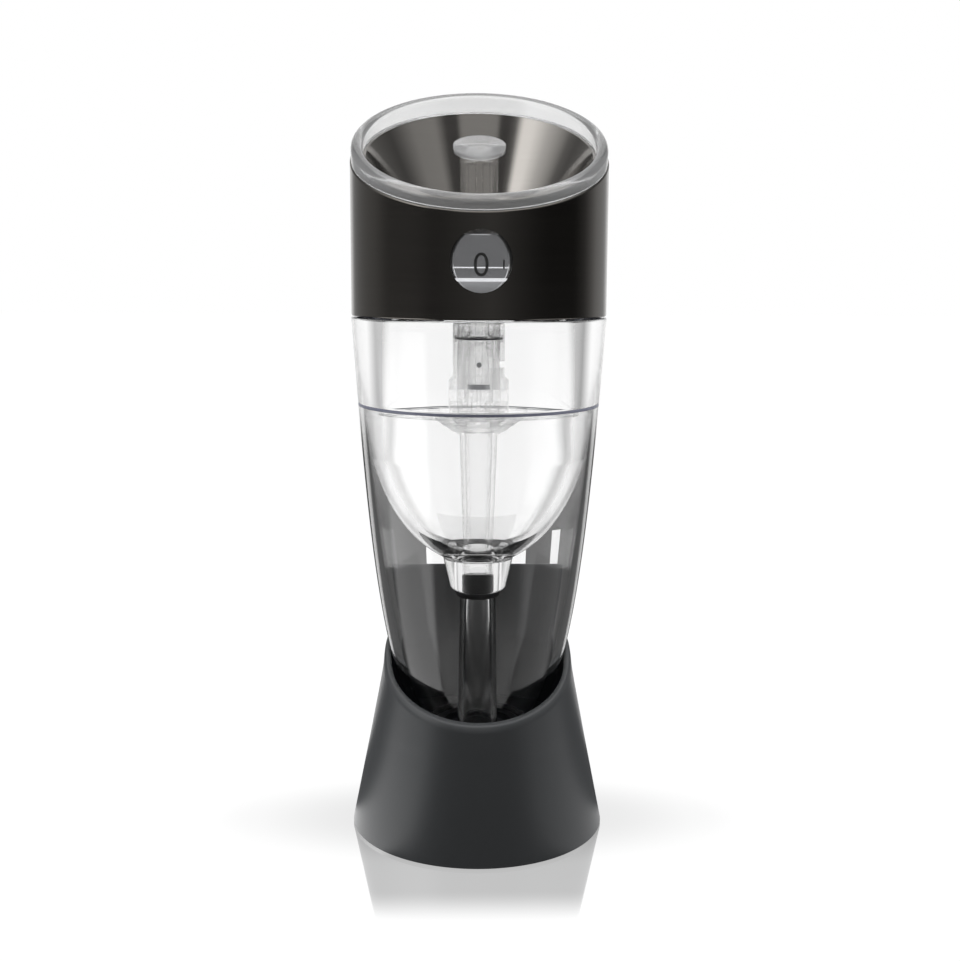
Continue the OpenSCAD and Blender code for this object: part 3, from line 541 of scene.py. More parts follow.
class AERATOR_OT_stand(bpy.types.Operator):
    """Build the cone stand with its socket, scooped front and raised back"""
    bl_idname = "aerator.stand"
    bl_label = "Stand"

    WALL_STEPS = 40
    RIM_STEPS = 12
    RIM_TRIES = 40
    # Tag of the points that stay where they are, below the wall
    FIXED = 4
    # Largest shares of the rim's width that its outer and inner roundings take, and the inner one's size
    OUTER_SHARE = 0.45
    INNER_SHARE = 0.3
    INNER_ROUND = 0.5

    def execute(self, context):
        sizes = context.scene.aerator_sizes
        slope = math.tan(sizes.rim_tilt)
        front_y = -self.cone_radius(RIM_FRONT_Z)
        rise_start_z = RIM_FRONT_Z + (RISE_START_Y - front_y) * slope
        self.rim_line = (front_y, slope, rise_start_z)
        # The wall's points start anywhere apart from each other, and their tags then put them in place:
        # 0 to 1 up the outside, 1 to 2 over the rim and 2 to 3 down the socket
        outer = [(1, FOOT_Z + 1 + i, 0, i / self.WALL_STEPS) for i in range(self.WALL_STEPS + 1)]
        across = [(1, 100 + i, 0, 1 + i / self.RIM_STEPS) for i in range(1, self.RIM_STEPS)]
        inner = [(2, 200 - i, 0, 2 + i / self.WALL_STEPS) for i in range(self.WALL_STEPS + 1)]
        below = [
            (DRIP_HOLE_R, SHELF_TOP_Z, 0, self.FIXED), (DRIP_HOLE_R, SHELF_LOW_Z, 0, self.FIXED),
            (self.cone_radius(SHELF_LOW_Z) - FOOT_WALL, SHELF_LOW_Z, 0, self.FIXED),
            (self.cone_radius(FOOT_Z) - FOOT_WALL, FOOT_Z, 0, self.FIXED)]
        shape = spun(outer + across + inner + below, STAND_STEPS)
        tag = shape.verts.layers.float["tag"]
        rounding = sizes.stand_rim_round / MM
        for vert in shape.verts:
            if vert[tag] < self.FIXED:
                angle = math.atan2(vert.co.y, vert.co.x)
                radius, z = self.wall_point(vert[tag], math.sin(angle), rounding)
                vert.co = (radius * math.cos(angle) * MM, radius * math.sin(angle) * MM, z * MM)
        face_out(shape)
        place(shape, "stand", "stand", "abs_spark_textured", ["stand_shell"])
        dress("rubber_moulded", "seat_ring", "foot_ring")
        dress("abs_moulded_dark", "drip_cup", "base_plate")
        dress("steel_zinc_plated", "base_screws")
        return {"FINISHED"}

    def cone_radius(self, z):
        """Radius of the stand's cone at a height."""
        return BASE_R + CONE_TAPER * (FOOT_Z - z)

    def outer_radius(self, z):
        """Outer radius of the stand: the cone, then a flare that follows the clear shell."""
        cone = self.cone_radius(z)
        if z < SEAT_Z:
            return cone
        flare = body_radius(z) + SOCKET_CLEAR + BACK_WALL
        return (cone + flare + math.sqrt((cone - flare) ** 2 + FLARE_BLEND ** 2)) / 2

    def inner_radius(self, z):
        """Radius of the socket: close to the shell higher up, a thin wall of the cone lower down."""
        return max(body_radius(max(z, SEAT_Z)) + SOCKET_CLEAR, self.cone_radius(z) - RIM_WALL)

    def rim_height(self, y):
        """Height of the scooped rim at a distance from the middle towards the back."""
        front_y, slope, rise_start_z = self.rim_line
        if y <= RISE_START_Y:
            return RIM_FRONT_Z + (y - front_y) * slope
        if y >= RISE_END_Y:
            return BACK_Z - (y - RISE_END_Y) * BACK_SLANT
        run = RISE_END_Y - RISE_START_Y
        share = (y - RISE_START_Y) / run
        ease = share * share * (3 - 2 * share)
        return rise_start_z + (BACK_Z - rise_start_z) * ease + slope * run * share * (1 - share) ** 2

    def rim_point(self, radius_at, turn):
        """Radius and height where a wall meets the rim in a direction."""
        z = RIM_FRONT_Z
        for _ in range(self.RIM_TRIES):
            z = 0.5 * (z + self.rim_height(radius_at(z) * turn))
        return radius_at(z), z

    def dip(self, rounding, distance):
        """How far a rounded edge lies below the rim at a distance from the edge."""
        return rounding - math.sqrt(rounding ** 2 - max(0.0, rounding - distance) ** 2)

    def wall_point(self, along, turn, rounding):
        """Radius and height of a point of the wall: up the outside, over the rim and down the socket."""
        outer_r, outer_z = self.rim_point(self.outer_radius, turn)
        inner_r, inner_z = self.rim_point(self.inner_radius, turn)
        width = max(RIM_MIN_W, outer_r - inner_r)
        outer_round = min(rounding, width * self.OUTER_SHARE)
        inner_round = min(rounding * self.INNER_ROUND, width * self.INNER_SHARE)
        if along <= 1:
            z = FOOT_Z + along * (outer_z - outer_round - FOOT_Z)
            return self.outer_radius(z), z
        if along < 2:
            share = along - 1
            from_outer = share * width
            z = outer_z + share * (inner_z - outer_z)
            z -= self.dip(outer_round, from_outer) + self.dip(inner_round, width - from_outer)
            return outer_r - from_outer, z
        z = inner_z - inner_round - (along - 2) * (inner_z - inner_round - SHELF_TOP_Z)
        return self.inner_radius(z), z


class AERATOR_OT_clear_body(bpy.types.Operator):
    """Build the clear shell, bowl, upper body and the seam between them"""
    bl_idname = "aerator.clear_body"
    bl_label = "Clear body"

    def execute(self, context):
        sizes = context.scene.aerator_sizes
        edge = sizes.moulded_edge / MM
        self.shell(sizes, edge)
        self.bowl(sizes, edge)
        self.upper_body(sizes, edge)
        seam = [(SEAM_R, SHELL_TOP_Z, FINE_EDGE), (SEAM_R, SEAM_TOP_Z, FINE_EDGE),
                (SEAM_R - SEAM_W, SEAM_TOP_Z), (SEAM_R - SEAM_W, SHELL_TOP_Z)]
        place(spun(seam, sizes.round_steps), "seam_line", "aerator", "silicone_blue_grey",
              ["seam_gasket"])
        return {"FINISHED"}

    def shell(self, sizes, edge):
        """Lower shell, open at both ends."""
        top = sizes.shell_wall_top / MM
        bottom = sizes.shell_wall_bottom / MM
        levels = heights(SEAT_Z, SHELL_TOP_Z, OUTLINE_STEPS)
        span = SHELL_TOP_Z - SEAT_Z
        outside = [(body_radius(z), z) for z in levels]
        inside = [(body_radius(z) - top - (bottom - top) * (SHELL_TOP_Z - z) / span, z) for z in levels]
        outside[0] += (2 * edge,)
        inside[0] += (2 * edge,)
        place_clear(spun(outside + inside[::-1], sizes.round_steps), "clear_shell", "aerator", "outer_shell")

    def bowl(self, sizes, edge):
        """Bowl with its rim inside the shell, and its neck."""
        wall = sizes.bowl_wall / MM
        inner_r = BOWL_R - wall
        inner_h = BOWL_H - wall
        ledge_z = PLATE_LOW_Z - FIT_GAP
        ledge_r = inner_r - LEDGE_W
        plate_r = PLATE_R + FIT_GAP
        rim_r = body_radius(SHELL_TOP_Z) - sizes.shell_wall_top / MM - BOND_GAP
        outside = bowl_arc(BOWL_R, BOWL_H, math.asin(BOWL_RIM_H / BOWL_H), math.acos(NECK_TOP_R / BOWL_R))
        inside = bowl_arc(inner_r, inner_h, math.acos(NECK_BORE_R / inner_r), math.acos(ledge_r / inner_r))
        outside[-1] += (NECK_TOP_ROUND,)
        outline = [(plate_r, SHELL_TOP_Z), (rim_r, SHELL_TOP_Z),
                   (rim_r - BOWL_RIM_DRAFT, SHELL_TOP_Z - BOWL_RIM_H)]
        outline += outside
        outline += [(NECK_END_R, NECK_END_Z, 3 * edge), (NECK_BORE_R, NECK_END_Z, BORE_EDGE)]
        outline += inside
        outline += [(ledge_r, ledge_z), (plate_r, ledge_z)]
        place_clear(spun(outline, sizes.round_steps), "clear_bowl", "aerator", "mixing_bowl")

    def upper_body(self, sizes, edge):
        """Thick body above the seam, with the spigot that the dial turns on."""
        outside = [(body_radius(z), z) for z in heights(SEAM_TOP_Z, BODY_TOP_Z, UPPER_STEPS)]
        outside[0] += (SMALL_EDGE,)
        outside[-1] += (SOFT_EDGE,)
        outline = [(CHAMBER_R, SEAM_TOP_Z, FINE_EDGE)] + outside
        outline += [
            (SPIGOT_R, BODY_TOP_Z), (SPIGOT_R, SPIGOT_TOP_Z, edge), (UPPER_BORE_R, SPIGOT_TOP_Z, edge),
            (UPPER_BORE_R, BORE_STEP_Z), (CHAMBER_R, CHAMBER_TOP_Z, edge)]
        place_clear(spun(outline, sizes.round_steps), "clear_upper_body", "aerator", "upper_body")


class AERATOR_OT_valve(bpy.types.Operator):
    """Build the valve, its air ring and tube, the nozzle and its seal"""
    bl_idname = "aerator.valve"
    bl_label = "Valve and nozzle"

    def execute(self, context):
        sizes = context.scene.aerator_sizes
        edge = sizes.moulded_edge / MM / 2
        steps = sizes.round_steps // 2
        for node in ("divider_plate", "valve_body", "air_ring"):
            place_clear(cad_copy(node), node + "_clear", "aerator", node, "acrylic_thin_clear")
        tube = [
            (TUBE_TOP_BORE_R, TUBE_TOP_Z, edge), (TUBE_COLLAR_R, TUBE_TOP_Z, edge),
            (TUBE_COLLAR_R, TUBE_COLLAR_Z, edge), (TUBE_TOP_R, TUBE_COLLAR_Z), (TUBE_END_R, TUBE_STRAIGHT_Z),
            (TUBE_END_R, TUBE_END_Z, edge), (TUBE_END_BORE_R, TUBE_END_Z, edge)]
        place_clear(spun(tube, steps), "mixing_tube_clear", "aerator", "mixing_tube", "acrylic_thin_clear")
        nozzle = [
            (NOZZLE_BORE_R, NOZZLE_TOP_Z, edge), (TUBE_END_R, NOZZLE_TOP_Z, edge),
            (TUBE_END_R, NOZZLE_NECK_Z), (NOZZLE_R, NOZZLE_NECK_Z, edge),
            (NOZZLE_END_R, NOZZLE_END_Z, 2 * edge), (NOZZLE_MOUTH_R, NOZZLE_END_Z, 2 * edge),
            (NOZZLE_BORE_R, NOZZLE_NECK_Z)]
        place_clear(spun(nozzle, steps), "nozzle_clear", "aerator", "nozzle")
        seal = [
            (SEAL_FOOT_R, SEAL_LOW_Z, BORE_EDGE), (SEAL_R, SEAL_TOP_Z, BORE_EDGE), (SLEEVE_R, SEAL_TOP_Z),
            (SLEEVE_R, SLEEVE_TOP_Z), (SLEEVE_BORE_R, SLEEVE_TOP_Z), (SLEEVE_BORE_R, SEAL_LOW_Z)]
        bore = DRAIN_TUBE_R + FIT_GAP
        bottom = VALVE_SEAL_Z - VALVE_SEAL_H / 2
        top = VALVE_SEAL_Z + VALVE_SEAL_H / 2
        ring = [(bore, bottom, FINE_EDGE), (VALVE_SEAL_R, bottom, FINE_EDGE), (VALVE_SEAL_R, top, FINE_EDGE),
                (bore, top, FINE_EDGE)]
        for node, outline in (("nozzle_seal", seal), ("valve_seal", ring)):
            place(spun(outline, steps), node + "_ring", "aerator", "rubber_moulded", [node])
        return {"FINISHED"}


class AERATOR_OT_numbers(bpy.types.Operator):
    """Build the ring behind the window and print its numbers"""
    bl_idname = "aerator.numbers"
    bl_label = "Numbers"

    def execute(self, context):
        sizes = context.scene.aerator_sizes
        ridge_z = NUMBERS_Z - sizes.digit_height / MM / 2 - RIDGE_DROP
        ring = [
            (NUMBER_BORE_R, RING_LOW_Z), (FLANGE_R, RING_LOW_Z, SMALL_EDGE),
            (FLANGE_R, FLANGE_TOP_Z, SMALL_EDGE), (RIDGE_R, FLANGE_TOP_Z), (RIDGE_TOP_R, ridge_z, HAIR_EDGE),
            (PANEL_LOW_R, ridge_z + RIDGE_FALL, HAIR_EDGE), (BEAD_R, BEAD_Z), (NUMBER_RING_R, BEAD_TOP_Z),
            (NUMBER_RING_R, RING_TOP_Z, BORE_EDGE), (NUMBER_BORE_R, RING_TOP_Z)]
        place(spun(ring, sizes.round_steps), "number_plate", "aerator", "plate_satin_silver",
              ["number_ring"], crease=5)
        print_all = bmesh.new()
        for count in range(LAST_NUMBER + 1):
            self.stamp(print_all, self.digit(str(count), sizes), count)
            if count < LAST_NUMBER:
                self.stamp(print_all, self.tick(sizes), count + 0.5)
        place(print_all, "printed_numbers", "aerator", "ink_printed_black", ["number_marks"])
        dress("rubber_moulded", "glide_ring")
        return {"FINISHED"}

    def digit(self, text, sizes):
        """A flat figure, upright in the XZ plane and centred, as a mesh."""
        lettering = bpy.data.curves.new("figure", "FONT")
        lettering.body = text
        lettering.offset = STROKE_TRIM
        holder = bpy.data.objects.new("figure", lettering)
        link(holder)
        flat = as_seen(holder)
        bpy.data.objects.remove(holder)
        bpy.data.curves.remove(lettering)
        lows = [min(v.co[i] for v in flat.verts) for i in (0, 1)]
        tops = [max(v.co[i] for v in flat.verts) for i in (0, 1)]
        wide = sizes.digit_width if text != "1" else sizes.digit_width / 2
        middle = Vector(((lows[0] + tops[0]) / 2, (lows[1] + tops[1]) / 2, 0))
        fit = Matrix.Diagonal((wide / (tops[0] - lows[0]), sizes.digit_height / (tops[1] - lows[1]), 1, 1))
        bmesh.ops.transform(flat, matrix=fit @ Matrix.Translation(-middle), verts=flat.verts[:])
        return flat

    def tick(self, sizes):
        """A short upright stroke, centred."""
        flat = bmesh.new()
        bmesh.ops.create_grid(flat, x_segments=1, y_segments=4, size=0.5)
        stroke = Matrix.Diagonal((TICK_W * MM, sizes.tick_height, 1, 1))
        bmesh.ops.transform(flat, matrix=stroke, verts=flat.verts[:])
        return flat

    def stamp(self, printed, flat, steps):
        """Thickens a flat figure and wraps it round the number ring."""
        merge(flat, PRINT_MERGE)
        face_out(flat)
        raised = bmesh.ops.extrude_face_region(flat, geom=flat.faces[:])
        for part in raised["geom"]:
            if isinstance(part, bmesh.types.BMVert):
                part.co.z += INK_T * MM
        face_out(flat)
        turn = steps * NUMBER_STEP
        for vert in flat.verts:
            radius = (NUMBER_RING_R + INK_LIFT) * MM + vert.co.z
            angle = vert.co.x / (NUMBER_RING_R * MM) + turn
            vert.co = (radius * math.sin(angle), -radius * math.cos(angle), NUMBERS_Z * MM + vert.co.y)
        held = bpy.data.meshes.new("figure")
        flat.to_mesh(held)
        flat.free()
        printed.from_mesh(held)
        bpy.data.meshes.remove(held)


class AERATOR_OT_dial(bpy.types.Operator):
    """Build the metal band with its window, and the rings and pin behind it"""
    bl_idname = "aerator.dial"
    bl_label = "Dial band"

    def execute(self, context):
        sizes = context.scene.aerator_sizes
        edge = sizes.band_edge / MM
        bore = BAND_R - BAND_WALL
        outline = [(BAND_R, BAND_Z, edge), (BAND_R, BAND_FRONT_Z, edge, 1),
                   (bore, BAND_FRONT_Z, BORE_EDGE, 1), (bore, BAND_Z, BORE_EDGE)]
        band = spun(outline, BAND_STEPS)
        slant(band, 1, BAND_R, sizes.band_tilt)
        drill = bmesh.new()
        bmesh.ops.create_cone(drill, cap_ends=True, segments=WINDOW_STEPS, radius1=WINDOW_R * MM,
                              radius2=WINDOW_R * MM, depth=DRILL_L * MM)
        lie_down = Matrix.Rotation(math.radians(90), 4, "X")
        turn = Matrix.Translation((0, -BAND_R * MM, WINDOW_Z * MM)) @ lie_down
        bmesh.ops.transform(drill, matrix=turn, verts=drill.verts[:])
        place(cut_hole(band, drill), "band", "dial", "steel_black_plated", ["dial_band"],
              crease=5)
        place_clear(self.pane(), "window_glass", "dial", "window_pane")
        dress("steel_zinc_plated", "retaining_ring", "stop_pin", "metering_cam")
        return {"FINISHED"}

    def pane(self):
        """Thin pane, bent to the curve of the band."""
        back_r = (PANE_R - PANE_T) * MM
        shape = bmesh.new()
        bmesh.ops.create_circle(shape, cap_ends=True, segments=WINDOW_STEPS,
                                radius=(WINDOW_R - BOND_GAP) * MM)
        for _ in range(PANE_RINGS):
            inner = min(shape.faces, key=lambda face: face.calc_area())
            bmesh.ops.inset_individual(shape, faces=[inner], thickness=PANE_RING_W * MM)
        bmesh.ops.solidify(shape, geom=shape.faces[:], thickness=PANE_T * MM)
        face_out(shape)
        back = min(v.co.z for v in shape.verts)
        for vert in shape.verts:
            radius = back_r + vert.co.z - back
            vert.co = (vert.co.x, -math.sqrt(radius ** 2 - vert.co.x ** 2), WINDOW_Z * MM + vert.co.y)
        face_out(shape)
        return shape


class AERATOR_OT_mouth(bpy.types.Operator):
    """Build the clear lip, the polished funnel, the drain tube and the air post"""
    bl_idname = "aerator.mouth"
    bl_label = "Mouth and funnel"

    def execute(self, context):
        sizes = context.scene.aerator_sizes
        self.lip(sizes)
        self.funnel(sizes)
        for node in ("drain_tube", "air_post"):
            place_clear(cad_copy(node), node + "_clear", "dial", node, "acrylic_thin_clear")
        place_clear(cad_copy("air_post_cap"), "air_post_cap_clear", "dial", "air_post_cap",
                    "acrylic_cap_milky")
        return {"FINISHED"}

    def lip(self, sizes):
        """Clear cup with a rounded lip that slants up to the back."""
        rounding = sizes.lip_round / MM
        skirt_r = BAND_R - BAND_WALL - BOND_GAP
        outline = [
            (MOUTH_BORE_R, CUP_LOW_Z, SOFT_EDGE), (skirt_r, CUP_LOW_Z, SOFT_EDGE),
            (skirt_r, BAND_FRONT_Z, 0, 1), (LIP_R, BAND_FRONT_Z + BOND_GAP, BORE_EDGE, 1),
            (LIP_R, LIP_FRONT_Z, rounding, 2), (MOUTH_BORE_R, LIP_FRONT_Z, rounding, 2)]
        shape = spun(outline, sizes.round_steps)
        slant(shape, 1, BAND_R, sizes.band_tilt)
        slant(shape, 2, (LIP_R + MOUTH_BORE_R) / 2, sizes.lip_tilt)
        place_clear(shape, "clear_lip", "dial", "mouth_cup", "acrylic_lip_clear", crease=50)

    def funnel(self, sizes):
        """Polished funnel that runs from a slanted rim down to a round drain."""
        rim_axis_z = BAND_FRONT_Z + BAND_R * math.tan(sizes.band_tilt) + FUNNEL_RIM_H
        shares = [i / FUNNEL_STEPS for i in range(FUNNEL_STEPS + 1)]
        fall = FUNNEL_RIM_R - FUNNEL_T - FUNNEL_DRAIN_R
        # Heights here only keep the points apart: each point's tag gives its height below
        inside = [(FUNNEL_DRAIN_R + fall * s, 100 * s, 0, s) for s in shares]
        outside = [(FUNNEL_DRAIN_R + FUNNEL_T + fall * s, 100 * s, 0, s) for s in shares]
        shape = spun(inside + outside[::-1], sizes.round_steps)
        tag = shape.verts.layers.float["tag"]
        for vert in shape.verts:
            share = vert[tag]
            turn = vert.co.y / vert.co.to_2d().length
            rim_z = rim_axis_z + FUNNEL_RIM_R * turn * math.tan(sizes.band_tilt)
            vert.co.z = (FUNNEL_LOW_Z + (rim_z - FUNNEL_LOW_Z) * share) * MM
        face_out(shape)
        place(shape, "funnel", "dial", "steel_gunmetal_polished", ["funnel_liner"])


class AERATOR_OT_stage(bpy.types.Operator):
    """Set the floor, the studio light, the white surroundings and the camera"""
    bl_idname = "aerator.stage"
    bl_label = "Stage"

    # Brightness round the object by the angle from the camera's side, in degrees: behind the outer walls at
    # table height and above it, behind the clear parts inside them, and in reflections at table height, of
    # the softboxes above and of the near table, the last being painted softbox bands that the floor glows
    # with in reflections
    THROUGH = {-150: 1.05, -132: 0.5, -115: 0.6, -95: 0.45, -60: 0.4, -20: 0.16, 20: 0.16, 60: 0.4,
               95: 0.4, 115: 0.6, 132: 0.35, 150: 1.05}
    RAISED = {**THROUGH, -95: 0.7, -60: 1.3, -20: 1.3, 20: 1.3, 60: 1.3, 95: 0.7}
    DEEP = {-163: 1.2, -155: 0.66, -147: 0.66, -138: 1.05, -100: 1.05, -70: 0.45, -40: 0.15, 40: 0.15,
            70: 0.45, 100: 1.05, 138: 1.05, 147: 0.45, 155: 0.45, 163: 1.2}
    LEVEL = {-158: 1.0, -148: 0.4, -105: 0.3, -88: 0.14, -43: 0.085, -10: 0.15, 10: 0.2, 30: 0.12,
             50: 0.05, 62: 0.03, 92: 0.035, 106: 0.13, 126: 0.56, 148: 0.5, 158: 1.0}
    ABOVE = {-158: 1.0, -148: 0.3, -120: 0.2, -108: 0.3, -98: 0.7, -80: 1.3, -62: 2.3, -50: 2.4, -42: 0.3,
             -34: 0.14, -25: 0.12, -20: 0.6, 20: 0.6, 25: 0.12, 38: 0.15, 50: 0.6, 75: 0.55, 95: 0.25,
             105: 0.15, 148: 0.3, 158: 1.0}
    NEAR = {-157: 0.06, -151: 1.4, -143: 1.4, -137: 0.05, -105: 0.05, -98: 1.8, -52: 2.4, -46: 0.06,
            42: 0.06, 52: 0.9, 95: 0.9, 105: 0.05, 137: 0.05, 143: 1.2, 151: 1.2, 157: 0.06}
    OVERHEAD = 2.4
    ROOM = 0.1

    # Spans where one level turns into the next: upward shares of a direction, distances on the floor in
    # metres, and counts of clear walls that a ray went through
    TABLE_RISE = (0.06, 0.25)
    SOFTBOX_RISE = (0.12, 0.3)
    OVERHEAD_RISE = (0.8, 0.88)
    DARK_TABLE = (0.4, 0.64)
    NEAR_TABLE = (0.55, 0.85)
    SHADE_SPAN = (0.026, 0.068)
    MIRROR_FRONT = (-0.054, -0.038)
    MIRROR_REACH = (0.05, 0.062)
    INNER_WALLS = (5, 6)
    CARD_WALLS = (2, 3)

    # Floor: half its width in metres, the painted dark it glows with through the clear parts, its painted
    # shade and how flat that is, its paint and its gloss
    FLOOR_HALF = 3
    DARK_LEVEL = 0.07
    SHADE_LEVEL = 0.63
    SHADE_STRETCH = (1, 2.4, 0)
    FLOOR_PAINT = (0.055, 0.055, 0.055, 1)
    MIRROR_SHARE = 0.5
    MIRROR_ROUGHNESS = 0.04

    # Glowing white cards behind the object, which light nothing and are seen only through clear walls as
    # painted brightness in them: two opposite corners in millimetres, and brightness
    CARDS = {
        "card_neck": ((-14.1, 34, 47), (14.1, 34, 64), 1.08),
        "card_shell": ((22.3, 34, 50), (25.7, 34, 61.8), 1.0),
    }
    # Lamps: place and size in metres, and power in watts, all facing one place
    SOFTBOXES = {
        "softbox_left": ((-0.42, 0.02, 0.36), (0.30, 0.30), 1.5),
        "softbox_right": ((0.42, 0.02, 0.36), (0.30, 0.30), 1.5),
        "softbox_front": ((0.0, -0.55, 0.35), (0.80, 0.08), 0.6),
    }
    LAMP_AIM = (0, 0, 0.08)

    # Camera: place in metres before it is turned round the object, turns in degrees, lens in millimetres
    CAMERA_SPOT = (0.0004, -0.302, 0.131)
    CAMERA_TURN = -1
    CAMERA_DOWN = 9.34
    CAMERA_ROLL = 0.23
    LENS = 50
    SENSOR = 36

    # Bounces of light: all together and through clear walls, and between mirrors
    BOUNCES = 32
    MIRROR_BOUNCES = 12

    def execute(self, context):
        scene = context.scene
        scene.view_settings.view_transform = "Standard"
        scene.cycles.max_bounces = self.BOUNCES
        scene.cycles.transmission_bounces = self.BOUNCES
        scene.cycles.glossy_bounces = self.MIRROR_BOUNCES
        scene.cycles.transparent_max_bounces = self.BOUNCES
        self.surroundings(scene)
        self.floor()
        # Glowing cards that paint brightness seen through the clear walls
        for name, card in self.CARDS.items():
            self.card(name, *card)
        for name, softbox in self.SOFTBOXES.items():
            self.softbox(name, *softbox)
        self.camera(scene)
        return {"FINISHED"}

    def camera(self, scene):
        """The photo's view: in front, a little above and turned a little to the left."""
        lens = bpy.data.cameras.new("camera")
        lens.lens = self.LENS
        lens.sensor_width = self.SENSOR
        lens.clip_start = 0.01
        camera = bpy.data.objects.new("camera", lens)
        turn = Matrix.Rotation(math.radians(self.CAMERA_TURN), 4, "Z")
        nod = Matrix.Rotation(math.radians(90 - self.CAMERA_DOWN), 4, "X")
        roll = Matrix.Rotation(math.radians(self.CAMERA_ROLL), 4, "Z")
        camera.matrix_world = turn @ Matrix.Translation(self.CAMERA_SPOT) @ nod @ roll
        link(camera)
        scene.camera = camera

    def softbox(self, name, spot, size, power):
        """A flat lamp that faces the middle of the object."""
        lamp = bpy.data.lights.new(name, "AREA")
        lamp.shape = "RECTANGLE"
        lamp.size, lamp.size_y = size
        lamp.energy = power
        box = bpy.data.objects.new(name, lamp)
        box.location = spot
        aim = Vector(self.LAMP_AIM) - Vector(spot)
        box.rotation_euler = aim.to_track_quat("-Z", "Y").to_euler()
        box.visible_glossy = False
        box.visible_transmission = False
        link(box)

    def round_share(self, tree, spot):
        """Share of a full turn at a place, from behind over the left, the camera's side and the right."""
        parts = add_node(tree, "SeparateXYZ", {0: spot})
        ahead = self.product(tree, parts.outputs["Y"], -1.0)
        angle = add_node(tree, "Math", {0: parts.outputs["X"], 1: ahead}, operation="ARCTAN2")
        share = add_node(tree, "MapRange", {"Value": angle, "From Min": -math.pi, "From Max": math.pi})
        return parts, share.outputs[0]

    def product(self, tree, first, second):
        """One value times another."""
        return add_node(tree, "Math", {0: first, 1: second}, operation="MULTIPLY").outputs[0]

    def distance(self, tree, spot, stretch):
        """Distance of a place from the middle, stretched along the axes."""
        stretched = add_node(tree, "VectorMath", {0: spot, 1: stretch}, operation="MULTIPLY")
        measured = add_node(tree, "VectorMath", {0: stretched}, operation="LENGTH")
        return measured.outputs["Value"]

    def round_view(self, tree, share, levels):
        """Brightness that changes round the object."""
        ramp = add_node(tree, "ValToRGB", {"Fac": share})
        stops = ramp.color_ramp.elements
        while len(stops) < len(levels):
            stops.new(0.5)
        for stop, (angle, level) in zip(stops, sorted(levels.items())):
            stop.position = (angle + 180) / 360
            stop.color = (level, level, level, 1)
        return ramp.outputs["Color"]

    def fade(self, tree, value, span, first=0, last=1):
        """A level that goes smoothly from the first to the last over a span of a value."""
        ease = add_node(tree, "MapRange", {
            "Value": value, "From Min": span[0], "From Max": span[1], "To Min": first, "To Max": last})
        ease.interpolation_type = "SMOOTHSTEP"
        return ease.outputs[0]

    def blend(self, tree, share, first, last):
        """One level turning into another."""
        return add_node(tree, "Mix", {"Factor": share, "A": first, "B": last}).outputs[0]

    def by_ray(self, tree, path, mirrored, through, deep, dull, plain):
        """Level by the kind of ray: mirrored, through the walls, through inner parts, dull or plain."""
        inside = self.fade(tree, path.outputs["Transmission Depth"], self.INNER_WALLS)
        scattered = self.fade(tree, path.outputs["Diffuse Depth"], (0, 1))
        through = self.blend(tree, inside, through, deep)
        level = self.blend(tree, path.outputs["Is Glossy Ray"], dull, mirrored)
        level = self.blend(tree, path.outputs["Is Transmission Ray"], level, through)
        level = self.blend(tree, scattered, level, dull)
        return self.blend(tree, path.outputs["Is Camera Ray"], level, plain)

    def surroundings(self, scene):
        """White all round for the camera, and a studio with softboxes and darker sides in the reflections."""
        world = bpy.data.worlds.new("studio")
        scene.world = world
        world.use_nodes = True
        tree = world.node_tree
        tree.nodes.clear()
        way = add_node(tree, "TexCoord").outputs["Generated"]
        path = add_node(tree, "LightPath")
        parts, share = self.round_share(tree, way)
        rise = parts.outputs["Z"]
        table, softboxes, through, raised, deep = (
            self.round_view(tree, share, levels)
            for levels in (self.LEVEL, self.ABOVE, self.THROUGH, self.RAISED, self.DEEP))
        mirrored = self.blend(tree, self.fade(tree, rise, self.SOFTBOX_RISE), table, softboxes)
        mirrored = self.blend(tree, self.fade(tree, rise, self.OVERHEAD_RISE), mirrored, self.OVERHEAD)
        through = self.blend(tree, self.fade(tree, rise, self.TABLE_RISE), through, raised)
        level = self.by_ray(tree, path, mirrored, through, deep, self.ROOM, 1.0)
        light = add_node(tree, "Background", {"Color": (1, 1, 1, 1), "Strength": level})
        add_node(tree, "OutputWorld", {"Surface": light})

    def card(self, name, start, end, level):
        """White card between two corners that glows but lights nothing, and is only seen through clear walls:
        painted brightness behind them.
        """
        tree, _ = new_finish(name)
        light = add_node(tree, "Emission", {"Color": (1, 1, 1, 1), "Strength": level})
        unseen = add_node(tree, "BsdfTransparent")
        path = add_node(tree, "LightPath")
        share = self.fade(tree, path.outputs["Transmission Depth"], self.CARD_WALLS)
        surface = add_node(tree, "MixShader", {0: share, 1: unseen, 2: light})
        add_node(tree, "OutputMaterial", {"Surface": surface})
        outline = [start, (end[0], end[1], start[2]), end, (start[0], start[1], end[2])]
        shape = bmesh.new()
        shape.faces.new([shape.verts.new(Vector(point) * MM) for point in outline])
        card = new_object(shape, name)
        card.data.materials.append(bpy.data.materials[name])
        card.visible_camera = False
        card.visible_diffuse = False
        card.visible_glossy = False
        card.visible_shadow = False

    def floor(self):
        """Pale floor: its glow is white for the camera with a painted shade beside the stand, and carries
        painted studio levels for mirrored and bent rays; a faint paint keeps the lamps' shadows, and it
        mirrors the object faintly in front.
        """
        tree, spot = new_finish("floor_white_gloss")
        path = add_node(tree, "LightPath")
        parts, share = self.round_share(tree, spot)
        table, near, through, deep = (
            self.round_view(tree, share, levels)
            for levels in (self.LEVEL, self.NEAR, self.THROUGH, self.DEEP))
        away = self.distance(tree, spot, (1, 1, 0))

        # Painted shade seen through the clear parts: the floor glows dark close behind them, white further
        # off
        through = self.product(tree, self.fade(tree, away, self.DARK_TABLE, self.DARK_LEVEL), through)
        # Mirrored rays see the floor glow: near the stand with painted softbox bands, further off with the
        # table levels
        mirrored = self.blend(tree, self.fade(tree, away, self.NEAR_TABLE), near, table)
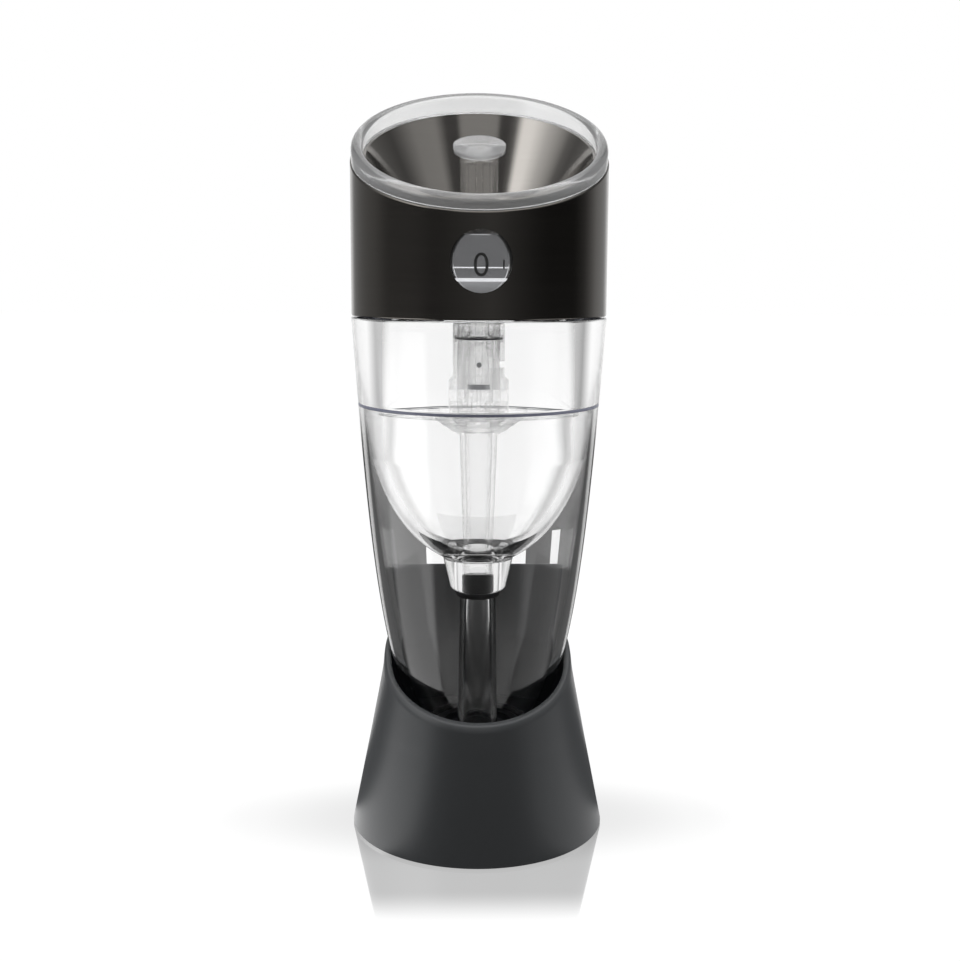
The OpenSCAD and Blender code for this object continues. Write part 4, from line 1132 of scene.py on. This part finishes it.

        # White glow for the camera, with a painted soft shade beside the stand where that glow is lowered
        beside = self.distance(tree, spot, self.SHADE_STRETCH)
        shade = self.fade(tree, beside, self.SHADE_SPAN, self.SHADE_LEVEL)
        level = self.by_ray(tree, path, mirrored, through, deep, 0.0, shade)
        light = add_node(tree, "Emission", {"Color": (1, 1, 1, 1), "Strength": level})
        paint = add_node(tree, "BsdfDiffuse", {"Color": self.FLOOR_PAINT})
        both = add_node(tree, "AddShader", {0: light, 1: paint})

        # Gloss in front of the stand, fading out towards the viewer
        mirror = add_node(tree, "BsdfGlossy", {"Color": (1, 1, 1, 1), "Roughness": self.MIRROR_ROUGHNESS})
        front = self.fade(tree, parts.outputs["Y"], self.MIRROR_FRONT, 0, self.MIRROR_SHARE)
        front = self.product(tree, front, self.fade(tree, away, self.MIRROR_REACH, 1, 0))
        front = self.product(tree, front, path.outputs["Is Camera Ray"])
        surface = add_node(tree, "MixShader", {0: front, 1: both, 2: mirror})
        add_node(tree, "OutputMaterial", {"Surface": surface})
        shape = bmesh.new()
        bmesh.ops.create_grid(shape, x_segments=4, y_segments=4, size=self.FLOOR_HALF)
        floor = new_object(shape, "floor")
        floor.data.materials.append(bpy.data.materials["floor_white_gloss"])


class AERATOR_PT_panel(bpy.types.Panel):
    """Lists the aerator's pieces, sizes and colours"""
    bl_idname = "AERATOR_PT_panel"
    bl_label = "Aerator"
    bl_space_type = "VIEW_3D"
    bl_region_type = "UI"
    bl_category = "Aerator"

    def draw(self, context):
        for operator in OPERATORS:
            self.layout.operator(operator.bl_idname)
        for group in (context.scene.aerator_sizes, context.scene.aerator_finishes):
            for name in group.__annotations__:
                self.layout.prop(group, name)


OPERATORS = (AERATOR_OT_stage, AERATOR_OT_finishes, AERATOR_OT_stand, AERATOR_OT_clear_body,
             AERATOR_OT_valve, AERATOR_OT_numbers, AERATOR_OT_dial, AERATOR_OT_mouth)
CLASSES = (AeratorSizes, AeratorFinishes) + OPERATORS + (AERATOR_PT_panel,)


def register():
    """Adds the add-on's classes and its settings on the scene."""
    for entry in CLASSES:
        bpy.utils.register_class(entry)
    bpy.types.Scene.aerator_sizes = PointerProperty(type=AeratorSizes)
    bpy.types.Scene.aerator_finishes = PointerProperty(type=AeratorFinishes)


def unregister():
    """Takes the add-on's classes and settings away again."""
    del bpy.types.Scene.aerator_finishes
    del bpy.types.Scene.aerator_sizes
    for entry in reversed(CLASSES):
        bpy.utils.unregister_class(entry)


def main():
    register()
    bpy.ops.aerator.stage()
    bpy.ops.aerator.finishes()
    bpy.ops.aerator.stand()
    bpy.ops.aerator.clear_body()
    bpy.ops.aerator.valve()
    bpy.ops.aerator.numbers()
    bpy.ops.aerator.dial()
    bpy.ops.aerator.mouth()


if __name__ == "__main__":
    main()
